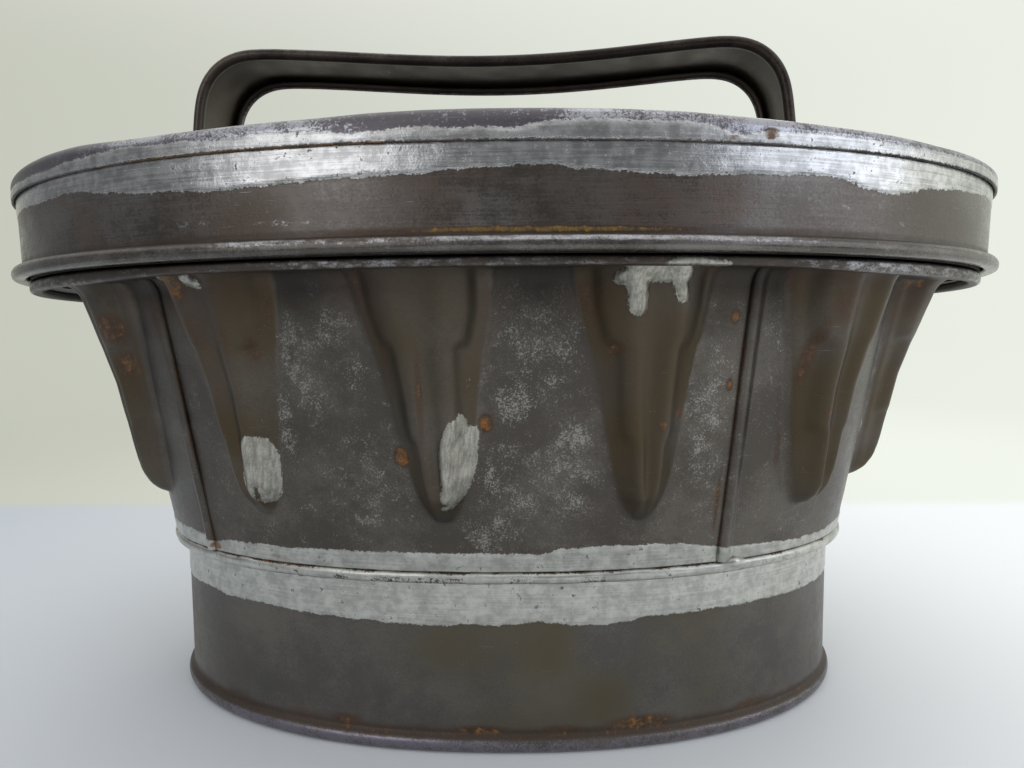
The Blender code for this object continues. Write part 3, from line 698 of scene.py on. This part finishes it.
LID_SOLDER_EDGE = (
    (-242, 116.5), (-200, 115.8), (-150, 116.8), (-110, 116), (-87.2, 117.5), (-76.2, 117.5),
    (-68.2, 117.8), (-60.4, 116.8), (-53.8, 116), (-47.4, 115.5), (-41.4, 115.1), (-33.4, 115.2),
    (-25.9, 115.5), (-11.7, 116.1), (4.1, 117.2), (10.7, 117.2), (21.7, 116), (32.9, 116), (44.8, 116.5),
    (49.7, 116.5), (53, 116), (54.9, 115.2), (59.5, 114.5), (62.4, 114.7), (64.9, 115.2), (66.5, 116.2),
    (75.2, 117), (87.1, 118), (130, 116.5), (180, 117), (242, 116.5),
)
FLANGE_SOLDER_EDGE = (
    (-242, 123), (-180, 123.6), (-120, 122.8), (-71.7, 122.4), (-59.8, 123.3), (-54.1, 123.8),
    (-47.4, 123.5), (-40.2, 123), (-35.7, 122.6), (-34, 123.3), (-32.8, 123.6), (-21.4, 123.1),
    (-18.8, 122.5), (-10.3, 123), (4.1, 122.8), (13, 123.8), (28.2, 124), (30.6, 123.9), (33.5, 122.4),
    (36, 122.2), (38.9, 123), (47.1, 123.3), (70.5, 123.2), (83.2, 122.8), (89.5, 122.4), (150, 123.4),
    (200, 122.8), (242, 123),
)
# How much higher or lower than even the lid's rim is beaten: (along, mm).
RIM_DIP = (
    (-242, 0.2), (-150, 0), (-90, 0), (-71.7, 0.2), (-64, 0.1), (-58, -0.3), (-52, -0.6), (-43, -0.6),
    (-33, -0.45), (-24, -0.3), (-16, 0.1), (-8, 0.3), (0, 0.35), (10, 0.3), (18, 0.25), (28, 0.05),
    (35, -0.3), (47, -0.7), (60, -1), (70, -1.35), (80, -1.2), (95, -0.9), (120, -0.5), (150, 0),
    (242, 0.2),
)
# Ochre over the bead, pale specks on the band and rust under the flange, as spots.
OCHRE = ((8, 107.4, 30, 0.7, 1.0),)
BAND_SPECKS = (
    (-44, 109.8, 9, 1.4, 0.6), (-30, 109.2, 12, 1, 0.5), (-26, 111.5, 17, 5, 0.35), (56, 111.5, 20, 5, 0.4),
)
FLANGE_RUST = (39.8, 122.5, 1.7, 1.5, 0.95), (34.4, 121.6, 1.8, 0.8, 0.8), (30, 121.5, 5, 0.6, 0.6)


def lid_band_marks(along, up, out):
    """The lid's band: brushed solder below the flange, rust on the left and in the middle, a brown line above
    the bead, and along the bead's upper front a mottled pale band, some wear but mostly a painted highlight."""
    turn, outside, bead = front(along), out > 31.6, fade(up, 106.35, 106.65)
    above = fade(np.abs(up - 107.0), 0.4, 1.5) * outside
    rusty = 0.30 * between(turn, -90, -38, 6) + 0.3 * between(turn, -6, 34, 8) + 0.1
    film = rusty * unit(0.6 + 0.7 * mottle(along, up, 7, 26)) * (1 - bead)
    above_bead = 0.62 * above * (0.75 + 0.4 * wander(along, 15, 25))
    # Painted highlight with some wear: pale specks along the bead's upper front, fainter at the far left.
    left = 0.35 + 0.65 * ease(turn, -50, -34)
    worn = bead * ease(up, 104.7, 105.6) * fade(up, 106.1, 106.6) * left
    worn = worn * (0.7 + 0.3 * wander(along, 18, 28))
    return dict(
        no_marks(along),
        solder=np.where(outside, up - edge_at(along, LID_SOLDER_EDGE, 0.35, 21), NONE_NEAR),
        rust=unit(np.maximum.reduce([film, above_bead, spots(turn, up, OCHRE)])),
        grime_and_shade=unit(0.35 * above + 0.05 * bead),
        bare_and_highlight=np.maximum(unit(worn), spots(turn, up, BAND_SPECKS) * (1 - bead)),
        stain=(1 - bead) * unit(0.4 + 0.5 * mottle(along, up, 11, 29)),
    )


def make_lid_band():
    """The lid's band: a bead rolled round its wire, squarer below, and the wall that comes straight down on
    it."""
    roll, inside = LID_WIRE + GAP + SHEET, collar_outer + LID_FIT
    centre = (inside + roll, body_top + LID_BEAD_CLEAR + roll)
    top, foot = lid_top_z - LID_ROUND, inside + SHEET + LID_DRAFT * 0.4
    bead = (arc(centre, roll, 180, 468, 32) - centre) / roll
    bead = centre + roll * np.sign(bead) * np.abs(bead) ** np.where(bead[:, 1:] < 0, 0.7, 1.0)
    wall = runs((foot, centre[1] + 0.98 * roll), 56, (inside + SHEET + LID_DRAFT, top), 1,
                (inside + LID_DRAFT, top), 24,
                (inside + LID_DRAFT * 0.4, centre[1] + 0.85 * roll), 1, centre)
    profile = np.vstack([bead, wall, arc(centre, roll - SHEET, 458, 180, 12)])
    make_ring("lid_band", profile, "lid", ["lid_band"], lid_tin, lid_band_marks,
              proud=0.14)


def flange_marks(along, up):
    """The flange: solder between its lower edge and a ragged line, pale specks of wear that also paint a
    highlight, and rust and painted shade along its lower edge, for the shadowed gap beneath it."""
    turn, seam = front(along), fade(up, 121.0, 121.3)
    # Pale specks of wear, fewer in the middle and at the far left, so that they also paint the windows'
    # highlight.
    bare_and_highlight = 1.2 - 0.75 * between(turn, -17, 6, 8) - 0.8 * fade(turn, -66, -50)
    return dict(
        no_marks(along), stain=ease(up, 122.0, 123.0), bare_and_highlight=bare_and_highlight * (0.9 + 0.25 * mottle(along, up, 5, 39)),
        solder=np.minimum(edge_at(along, FLANGE_SOLDER_EDGE, 0.3, 31) - up, up - 121.1),
        rust=np.maximum(spots(turn, up, FLANGE_RUST), seam * (0.5 + 0.35 * between(turn, -50, -16, 6))),
        # Painted shade along the flange's lower edge, heavier at the right.
        grime_and_shade=seam * (0.35 + 0.5 * between(turn, 56, 86, 5)),
    )


def make_lid_top():
    """The flange, its rounded corner and the flat top, whose rings shrink towards the middle and close on a
    point. The rim rises and falls a little, more the nearer a point is to it."""
    flange = collar_outer + LID_FIT + LID_DRAFT + SHEET + GAP + SHEET
    share = shares_round(COLUMNS["lid_top"])
    corner = arc((flange - LID_ROUND, lid_top_z - LID_ROUND), LID_ROUND, 0, 90, 14)
    edge = np.vstack([runs((flange, lid_top_z - LID_FLANGE), 16, (flange, lid_top_z - LID_ROUND)), corner])
    offset, height = edge[:, :1], edge[:, 1:]
    along, up = in_mm(share, height)
    marks = flange_marks(along, up)
    dip = np.interp(front(share * ROUND_MM), *zip(*RIM_DIP)) / 1000
    mound = solder_mound(0.00010, marks["solder"], along, up)
    rim = place(share, offset + mound, height + dip * ease(height, lid_top_z - 0.0036, lid_top_z - 0.0006))
    shrink = 1 - np.linspace(0, 1, 42)[1:-1] ** 0.85
    inner = rim[-1] * (1, 1, 0) * shrink[:, None, None]
    x, y = inner[..., 0] * 1000, inner[..., 1] * 1000
    pools, at = lid_foot_solder(x, y), (x + 300, y + 300)
    inner[..., 2] = lid_top_z + dip * (shrink**3)[:, None] + 0.0004 * ease(pools, -0.3, 1.2)
    top = dict(
        no_marks(x), solder=pools, bare_and_highlight=unit(0.25 + 0.3 * mottle(*at, 14, 37)),
        rust=unit(0.3 * mottle(*at, 19, 38) + 0.25 * fade(-pools, 0, 3)),
        stain=unit(0.45 + 0.4 * mottle(*at, 26, 35)),
    )
    marks = {key: np.concatenate([marks[key], top[key]]) for key in MARKS}
    points = np.concatenate([rim, inner])
    sheet("lid_top", points, "lid", ["lid_top"], rim_tin, marks,
          ring=True, inside=inside_tin, cap=True)


def lid_foot_solder(x, y):
    """Depth inside the two pools of solder round the handle's feet, in mm: rounded rectangles with wavy
    edges."""
    turn = -HANDLE_TURN
    along, across = x * math.cos(turn) - y * math.sin(turn), x * math.sin(turn) + y * math.cos(turn)
    found = np.full(x.shape, -50.0)
    for middle in (-1000 * HANDLE_SPAN_LEFT - POOL_OUT, 1000 * HANDLE_SPAN_RIGHT + POOL_OUT):
        box = np.stack([np.abs(along - middle) - POOL_HALF_LENGTH, np.abs(across) - POOL_HALF_WIDTH], -1)
        far = np.linalg.norm(np.maximum(box, 0), axis=-1) + np.minimum(box.max(-1), 0)
        found = np.maximum(found, POOL_CORNER - far + 0.5 * mottle(x + 300, y + 300, 3.1, 36))
    return found


# The handle.


def rounded(corners):
    """A run through (x, z, radius) corners, each rounded off by an arc of 14 steps that touches both its
    sides."""
    points = [np.array([corners[0][:2]])]
    for before, here, after in zip(corners, corners[1:], corners[2:]):
        corner, radius = np.array(here[:2]), here[2]
        back, on = np.array(before[:2]) - corner, np.array(after[:2]) - corner
        back, on = back / np.hypot(*back), on / np.hypot(*on)
        if not radius:
            points.append(corner[None])
            continue
        half = math.acos(np.clip(back @ on, -1, 1)) / 2
        middle = corner + (back + on) / np.hypot(*(back + on)) * radius / math.sin(half)
        start = corner + back * radius / math.tan(half) - middle
        end = corner + on * radius / math.tan(half) - middle
        angle = math.atan2(start[0] * end[1] - start[1] * end[0], start @ end) * np.linspace(0, 1, 15)
        x = start[0] * np.cos(angle) - start[1] * np.sin(angle)
        points.append(middle + np.stack([x, start[0] * np.sin(angle) + start[1] * np.cos(angle)], -1))
    return np.vstack([*points, [corners[-1][:2]]])


def handle_path(roll):
    """The strap's middle line from the right foot over to the left one: straight legs, rounded shoulders and
    a sag that goes as the square of a sine between them."""
    low, high = lid_top_z + GAP + roll, lid_top_z + HANDLE_RISE
    right, left = HANDLE_SPAN_RIGHT, -HANDLE_SPAN_LEFT
    lean = HANDLE_SPLAY * (high - low)
    corners = [(right + lean + HANDLE_FOOT, low, 0), (right + lean, low, HANDLE_BEND)]
    corners.append((right, high - HANDLE_DROP, HANDLE_SHOULDER))
    for share in np.arange(3, 22) / 24:
        sag = HANDLE_SAG * math.sin(math.pi * share**HANDLE_SAG_SKEW) ** 2
        level = high - HANDLE_DROP * (1 - share) - sag
        corners.append((right + (left - right) * share, level, 0))
    corners += [(left, high, HANDLE_SHOULDER), (left - lean, low, HANDLE_BEND)]
    return rounded(corners + [(left - lean - HANDLE_FOOT, low, 0)])


def make_handle():
    """The strap's closed section, a web with an edge rolled under at each side, carried along its path."""
    roll = HANDLE_WIRE + GAP + SHEET
    half = HANDLE_WIDTH / 2 - roll
    path = handle_path(roll)
    run = np.concatenate([[0], np.cumsum(np.hypot(*np.diff(path, axis=0).T))])
    at = np.linspace(0, run[-1], 280)
    path = np.stack([np.interp(at, run, path[:, k]) for k in (0, 1)], -1)
    for _ in range(40):
        smooth = (path[:-2] + 2 * path[1:-1] + path[2:]) / 4
        path[24:-24] = smooth[23:-23]
    ahead = np.gradient(path, axis=0)
    ahead /= np.linalg.norm(ahead, axis=1, keepdims=True)
    out = np.stack([ahead[:, 1], -ahead[:, 0]], -1)
    outside = arc((0, half), roll, 8, 270, 24)
    inside = arc((0, half), roll - SHEET, 270, 8, 14)
    web = np.array([(roll, share * half) for share in np.linspace(0, 0.9, 9)])
    near = np.vstack([web, outside, inside, web[::-1] - (SHEET, 0)])
    section = np.vstack([near, near[::-1] * (1, -1)])
    section = section[np.abs(np.diff(section, axis=0, append=section[:1])).sum(1) > 1e-7]
    x = path[None, :, 0] + section[:, :1] * out[None, :, 0]
    z = path[None, :, 1] + section[:, :1] * out[None, :, 1]
    y = section[:, 1:] + 0 * x
    c, s = math.cos(HANDLE_TURN), math.sin(HANDLE_TURN)
    points = np.stack([x * c - y * s, x * s + y * c, z], -1)
    level, wide = section[:, :1], np.abs(section[:, 1:])
    bead = ease(wide, 0.0092, 0.0100) + 0 * x
    crest, within = bead * ease(level, 0.0002, 0.0011), wide < half
    under, lip_below = (level < roll - 0.5 * SHEET) & within, (level < -0.0011) & within
    cloudy = mottle(x * 1000 + 300, y * 1000 + 100, 4.2, 91)
    # Painted highlight along the near bead's crest, brightest at the left.
    worn = 0.8 * crest * (y < 0) * np.clip(0.7 - x / 0.09, 0.25, 1)
    marks = dict(
        # Pale: the painted highlight on the near bead, a light line along the rolls' turned-under ends, a
        # painted highlight too, and pale specks on the back bead.
        no_marks(x), bare_and_highlight=worn + 0.6 * lip_below + 0.3 * bead * (y > 0),
        # Painted shade on the web's underside and the lower halves of both beads, mottled.
        grime_and_shade=under * (0.22 + 0.25 * cloudy) + 0.4 * bead * fade(level, -0.0008, 0.0004) * ~lip_below,
        stain=under * (0.55 + 0.5 * cloudy) + 0.15,
    )
    piece = sheet("handle", points, "lid", ["handle_strap"], strap_black, marks,
                  tube=True)
    close_ends(piece, len(section), points.shape[1])


def close_ends(piece, rows, columns):
    """The two open ends of a swept section closed by one face each."""
    shape = bmesh.new()
    shape.from_mesh(piece.data)
    shape.verts.ensure_lookup_table()
    shape.faces.new([shape.verts[row * columns] for row in range(rows)])
    shape.faces.new([shape.verts[row * columns + columns - 1] for row in reversed(range(rows))])
    bmesh.ops.recalc_face_normals(shape, faces=shape.faces)
    shape.to_mesh(piece.data)
    shape.free()


# Finishes.


def tone(code):
    """A colour written as sRGB hex, turned to the linear numbers that a shader takes."""
    parts = [int(code[k : k + 2], 16) / 255 for k in (1, 3, 5)]
    return (*[c / 12.92 if c <= 0.04045 else ((c + 0.055) / 1.055) ** 2.4 for c in parts], 1)


def add(tree, kind, inputs=None, out=0, **settings):
    """One shader node with its settings. Each input is linked from a socket or given a value. Gives one
    output."""
    node = tree.nodes.new("ShaderNode" + kind)
    for key, value in settings.items():
        setattr(node, key, value)
    for key, value in (inputs or {}).items():
        if isinstance(value, bpy.types.NodeSocket):
            tree.links.new(value, node.inputs[key])
        else:
            node.inputs[key].default_value = value
    return node.outputs[out]


# What every blend of two colours, every soft step and every weighted sum takes.
BLEND = {"out": 2, "data_type": "RGBA"}
SOFT = {"interpolation_type": "SMOOTHSTEP"}
SUM = {"operation": "MULTIPLY_ADD"}
# Patterns of every tinned finish: name, size in mm along each axis, detail and roughness of the noise. Real
# grit and scratches are too fine to show, so the finest of these are drawn as coarse as they need to show.
PATTERNS = (
    ("broad", (19, 19, 19), 2, 0.5),
    ("patchy", (3.6, 3.6, 3.6), 5, 0.6),
    ("cells", (1.5, 1.5, 1.5), 3, 0.6),
    ("grain", (0.45, 0.45, 0.45), 3, 0.7),
    ("fine", (0.38, 0.38, 0.38), 3, 0.75),
    ("brush", (14, 14, 0.32), 4, 0.65),
    ("scratch", (7, 7, 0.16), 2, 0.5),
    ("daubing", (0.7, 0.7, 7), 4, 0.65),
    ("worn", (2.6, 2.6, 1.0), 4, 0.65),
)


def new_finish(name):
    """A material with its node tree, its main shader and the object's own coordinates."""
    finish = bpy.data.materials.new(name)
    finish.use_nodes = True
    tree = finish.node_tree
    return finish, tree, tree.nodes["Principled BSDF"], add(tree, "TexCoord", out="Object")


def old_tin(name, dark, light, brown, *, matt=0.42, metal=0.8, brushed=0.15, solder=("#a1a19b", "#c3c3bc"),
            specks=("#6b6964", "#a5a39c"), rust=("#482b14", "#9a6022"), dark_grime_and_shade="#17130f", bump=0.5):
    """Hot-dipped tinplate that has dulled for a century. The tin is a mottled grey between two tones, worn to
    pale specks, which some marks lay as painted highlights, browned where damp stood, filmed or pitted with
    rust, and darkened by dirt and by painted shade. Solder lies on it as a paler, brushed skin with a ragged
    edge, and daubs of it carry upright strokes. The masks are weighted sums of patterns and marks, put
    through a smooth step; each layer then covers the ones before it with a mix of two tones."""
    finish, tree, shader, here = new_finish(name)
    field = {}
    for key, size, detail, rough in PATTERNS:
        per_metre = [1000 / edge for edge in size]
        stretched = add(tree, "VectorMath", {0: here, 1: per_metre}, operation="MULTIPLY")
        noise = {"Vector": stretched, "Scale": 1.0, "Detail": detail, "Roughness": rough}
        field[key] = add(tree, "TexNoise", noise, out="Fac")
    for mark in MARKS:
        field["m_" + mark] = add(tree, "Attribute", out="Fac", attribute_name=mark)
    half = brushed / 2
    masks = (
        ("shade", dict(broad=0.9, patchy=0.5, grain=0.55, brush=brushed), 0.80 + half, 1.2 + half),
        ("stained", dict(m_stain=1.0, patchy=0.5, broad=0.3), 0.45, 1.45),
        ("specks", dict(fine=0.95, cells=0.3, patchy=0.45, m_bare_and_highlight=0.27), 1.03, 1.2),
        ("rubbed", dict(worn=0.9, fine=0.6, m_bare_and_highlight=0.6), 1.08, 1.42),
        ("scratched", dict(scratch=1.0, patchy=0.4), 0.92, 1.0),
        ("film", dict(m_rust=1.0, cells=0.35, grain=0.3), 0.42, 1.15),
        ("rusted", dict(m_rust=0.85, cells=1.1, fine=0.8), 1.56, 1.9),
        ("grit", dict(fine=1.0, cells=0.6), 0.6, 1.0),
        ("dirt_and_shade", dict(m_grime_and_shade=1.0, cells=0.3), 0.2, 1.1),
        ("skin", dict(m_solder=1.0, grain=1.3, cells=0.7), 0.92, 1.12),
        ("daubed", dict(m_daub=1.0, grain=1.1, daubing=0.9), 0.9, 1.1),
        ("streaks", dict(brush=0.3 + brushed, cells=0.5, patchy=0.8), 0.62 + half, 0.98 + half),
        ("strokes", dict(daubing=1.0, grain=0.5), 0.55, 0.95),
        ("tarnished", dict(m_rust=1.0, cells=0.5, patchy=0.4), 1.0, 1.6),
        ("pits", dict(skin=1.0, cells=1.0, grain=0.45), 1.84, 2.0),
    )
    for key, weights, low, high in masks:
        total = 0.0
        for source, weight in weights.items():
            total = add(tree, "Math", {0: field[source], 1: weight, 2: total}, **SUM)
        field[key] = add(tree, "MapRange", {0: total, 1: low, 2: high}, **SOFT)
    # mask, its two tones and what mixes them, roughness, metal
    layers = (
        ("stained", brown, brown, "grain", matt + 0.06, metal - 0.2),
        ("scratched", light, specks[0], "grain", matt - 0.04, metal),
        # Pale specks from the bare mark: wear, and on the beads and the flange painted highlights.
        ("rubbed" if bump > 0.55 else "specks", *specks, "grain", matt - 0.08, 0.9),
        ("film", "#35241a", "#573a22", "grit", matt + 0.12, 0.35),
        # Dark from the grime mark: dirt, and painted shade in creases, grooves and under the brim and the
        # strap.
        ("dirt_and_shade", dark_grime_and_shade, "#2b241c", "cells", 0.55, 0.4),
        ("skin", *solder, "streaks", matt - 0.06, 0.9),
        ("pits", "#5c5a54", "#6f6d66", "grain", 0.55, 0.7),
        ("tarnished", "#63523b", "#85724c", "grit", 0.45, 0.7),
        ("rusted", *rust, "grit", 0.85, 0.0),
        ("daubed", "#85837a", "#b0aea3", "strokes", 0.42, 0.85),
    )
    colour = add(tree, "Mix", {0: field["shade"], 6: tone(dark), 7: tone(light)}, **BLEND)
    roughness = add(tree, "Mix", {0: field["streaks"], 2: matt - 0.05, 3: matt + 0.07})
    metallic = metal
    for mask, first, second, by, rough, shine in layers:
        tint = add(tree, "Mix", {0: field[by], 6: tone(first), 7: tone(second)}, **BLEND)
        colour = add(tree, "Mix", {0: field[mask], 6: colour, 7: tint}, **BLEND)
        roughness = add(tree, "Mix", {0: field[mask], 2: roughness, 3: rough})
        metallic = add(tree, "Mix", {0: field[mask], 2: metallic, 3: shine})
    heights = dict(grain=0.3, patchy=0.3, brush=0.35 * brushed, skin=0.7, pits=-0.5, rusted=0.7, daubed=0.6,
                   strokes=0.05, streaks=0.12)
    height = 0.0
    for source, weight in heights.items():
        height = add(tree, "Math", {0: field[source], 1: weight, 2: height}, **SUM)
    normal = add(tree, "Bump", {"Height": height, "Distance": 0.0001, "Strength": bump})
    found = {"Base Color": colour, "Roughness": roughness, "Metallic": metallic, "Normal": normal}
    for key, value in found.items():
        tree.links.new(value, shader.inputs[key])
    return finish


def rusty_wire(name):
    """Iron wire inside a rolled edge: dark, with a brown bloom of rust in spots of about 1.5 mm."""
    finish, tree, shader, here = new_finish(name)
    bloom = add(tree, "TexNoise", {"Vector": here, "Scale": 650, "Detail": 4}, out="Fac")
    colour = add(tree, "Mix", {0: bloom, 6: tone("#2a2623"), 7: tone("#5a3822")}, **BLEND)
    tree.links.new(colour, shader.inputs["Base Color"])
    shader.inputs["Metallic"].default_value = 0.6
    shader.inputs["Roughness"].default_value = 0.6
    return finish


BRIGHT_SOLDER = "#989896", "#c8c8c6"
# The body: a dark, warm grey with pale specks, brown under the brim and darkened there by painted shade, and
# a dull, soft gleam.
body_tin = old_tin("dulled_hot_dipped_tinplate", "#4e4943", "#625d56", "#473b26", matt=0.38,
                   solder=("#999993", "#bcbcb5"))
# The inner faces, which nothing has rubbed: an even, lighter grey.
inside_tin = old_tin("plain_tin_inside", "#6a6863", "#8a8883", "#4d4531", matt=0.45)
# The foot: a warm grey with faintly violet specks, which also paint a highlight on the bead.
foot_tin = old_tin("foot_tinplate", "#565350", "#68645d", "#544d3c", matt=0.38,
                   specks=("#68636a", "#8e8993"))
# The brim and its hoop: brown-grey, rubbed bright along the hoop's face.
brim_tin = old_tin("worn_hoop_tinplate", "#47423d", "#5d5853", "#3a3028", bump=0.6,
                   specks=("#6f6d6c", "#b0b0b2"))
# The lid's band: brushed along its length, the least matt of them, with ochre rust and pale specks that paint
# the highlight along the bead.
lid_tin = old_tin("brushed_lid_tinplate", "#534e49", "#74706c", "#443a30", brushed=0.4, matt=0.25,
                  bump=0.6, rust=("#4e3d14", "#8c6c26"), solder=BRIGHT_SOLDER, specks=("#8b898a", "#c4c4c8"))
# The lid's flange and top: pale and purplish, with red-brown rust and pale specks that partly paint a
# highlight.
rim_tin = old_tin("purplish_rim_tinplate", "#625f63", "#939196", "#5b575b", brushed=0.2, matt=0.32,
                  rust=("#4c3027", "#6e4c3e"), solder=BRIGHT_SOLDER, specks=("#84848a", "#b8b9bf"))
# The handle: blackened by heat and hands, with a satin sheen, painted highlights on the near bead and the
# rolls' ends, and painted shade underneath.
strap_black = old_tin("blackened_strap_tinplate", "#2b2522", "#4d453e", "#3c3225", brushed=0.3, matt=0.32,
                      specks=("#5d5a5e", "#9a979c"), bump=0.6)
# The wires, seen only in a gap: dark iron with brown rust.
wire = rusty_wire("rusted_iron_wire")

for index, name in enumerate(("panel_right", "panel_back", "panel_left", "panel_front")):
    make_panel(index, name)
make_foot()
make_brim()
make_collar()
make_lid_band()
make_lid_top()
make_handle()
shown_solids = {"bottom_plate": inside_tin}
for name in ("hoop_wire", "foot_rim_wire", "lid_rim_wire", "handle_wire_front", "handle_wire_back"):
    shown_solids[name] = wire
for name, finish in shown_solids.items():
    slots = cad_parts[name].data.materials
    slots.clear()
    slots.append(finish)


# The studio.


def room_tone(tree, direction):
    """The room's colour in a direction: a cream wall behind, brighter to the right where the windows are, a
    dimmer room in front, and a white ceiling."""
    aim = add(tree, "VectorMath", {0: direction}, operation="NORMALIZE")
    x, y, z = (add(tree, "SeparateXYZ", {0: aim}, axis) for axis in "XYZ")
    turned = add(tree, "Math", {0: x, 1: 0.45, 2: y}, **SUM)
    right = add(tree, "MapRange", {0: x, 1: -0.8, 2: 0.8}, **SOFT)
    back = add(tree, "MapRange", {0: turned, 1: -0.15, 2: 0.4}, **SOFT)
    above = add(tree, "MapRange", {0: z, 1: 0.3, 2: 0.75}, **SOFT)
    wall = add(tree, "Mix", {0: right, 6: tone("#c5c7bb"), 7: tone("#ecf0e6")}, **BLEND)
    colour = add(tree, "Mix", {0: back, 6: tone("#86888b"), 7: wall}, **BLEND)
    return add(tree, "Mix", {0: above, 6: colour, 7: tone("#ffffff")}, **BLEND)


def plain_floor():
    """A pale table top, painted whiter to the right as the windows' light would make it, that turns to the
    wall's cream behind the mould and fades into a glow of the room's colours far out."""
    half = 3.0
    mesh = bpy.data.meshes.new("table")
    corners = [(-half, -half, 0), (half, -half, 0), (half, half, 0), (-half, half, 0)]
    mesh.from_pydata(corners, [], [(0, 1, 2, 3)])
    table = put("table", mesh)
    finish, tree, shader, here = new_finish("table_painted_lighter_right")
    x, y = (add(tree, "SeparateXYZ", {0: here}, axis) for axis in "XY")
    # Painted light: the table and the wall's cream behind it are coloured lighter to the right, where the
    # windows are.
    right = add(tree, "MapRange", {0: x, 1: -0.38, 2: 0.24}, **SOFT)
    behind = add(tree, "MapRange", {0: y, 1: 0.150, 2: 0.175}, **SOFT)
    near = add(tree, "Mix", {0: right, 6: tone("#bbc2ca"), 7: tone("#f6f9fb")}, **BLEND)
    wall = add(tree, "Mix", {0: right, 6: tone("#c6c8bb"), 7: tone("#eef2e8")}, **BLEND)
    colour = add(tree, "Mix", {0: behind, 6: near, 7: wall}, **BLEND)
    tree.links.new(colour, shader.inputs["Base Color"])
    shader.inputs["Roughness"].default_value = 0.8
    far = add(tree, "VectorMath", {0: here}, "Value", operation="LENGTH")
    away = add(tree, "MapRange", {0: far, 1: 0.35, 2: 0.9}, **SOFT)
    glow = add(tree, "Emission", {"Color": room_tone(tree, here)})
    mixed = add(tree, "MixShader", {0: away, 1: shader.outputs[0], 2: glow})
    tree.links.new(mixed, tree.nodes["Material Output"].inputs["Surface"])
    mesh.materials.append(finish)


def pale_room():
    """The same room all round, which lights the mould and shows in its metal."""
    world = bpy.data.worlds.new("pale_room")
    bpy.context.scene.world = world
    world.use_nodes = True
    tree = world.node_tree
    colour = room_tone(tree, add(tree, "TexCoord", out="Generated"))
    tree.links.new(colour, tree.nodes["Background"].inputs["Color"])


LAMPS_AIM = (0, 0, 0.08)


def lamp(name, stands_at, size, radiance, tint):
    """A soft box aimed at the mould. Its power is its brightness times pi times its area."""
    light = bpy.data.lights.new(name, "AREA")
    light.shape = "RECTANGLE"
    light.size, light.size_y = size
    light.energy = radiance * math.pi * size[0] * size[1]
    light.color = tone(tint)[:3]
    made = put(name, light)
    made.location = stands_at
    made.rotation_euler = (Vector(LAMPS_AIM) - Vector(stands_at)).to_track_quat("-Z", "Y").to_euler()


CAMERA_AT, FOCAL_PIXELS, PICTURE_PIXELS = (0.00678, -0.18959, 0.09059), 662.5, 1024
PITCH, ROLL, TURN = (math.radians(angle) for angle in (4.16, -0.54, -1.39))


def make_camera():
    """Straight ahead of the mould and a little above its middle, tipped down by 4.16 degrees and rolled by
    0.54."""
    right = Vector((math.cos(TURN), -math.sin(TURN), 0))
    ahead = Vector((math.sin(TURN) * math.cos(PITCH), math.cos(TURN) * math.cos(PITCH), -math.sin(PITCH)))
    up = right.cross(ahead)
    image_x = right * math.cos(ROLL) + up * math.sin(ROLL)
    image_y = up * math.cos(ROLL) - right * math.sin(ROLL)
    data = bpy.data.cameras.new("camera")
    data.sensor_width, data.lens, data.clip_start = 36, FOCAL_PIXELS * 36 / PICTURE_PIXELS, 0.005
    camera = put("camera", data)
    facing = Matrix((image_x, image_y, -ahead)).transposed().to_4x4()
    camera.matrix_world = Matrix.Translation(CAMERA_AT) @ facing
    bpy.context.scene.camera = camera


make_camera()
plain_floor()
pale_room()
lamp("window_left", (-0.58, -0.94, 0.38), (0.64, 0.62), 1.6, "#fbfbff")
lamp("window_right", (0.93, -0.58, 0.38), (0.74, 0.62), 1.8, "#eaf0ff")
lamp("side_light", (1.05, -0.1, 0.2), (0.5, 0.35), 0.4, "#fdfdff")
lamp("ceiling", (0.0, 0.1, 1.1), (0.9, 0.7), 0.5, "#ffffff")
lamp("back_light", (0.3, 0.9, 0.6), (0.7, 0.5), 0.8, "#fffdf4")
bpy.context.scene.view_settings.view_transform = "Standard"
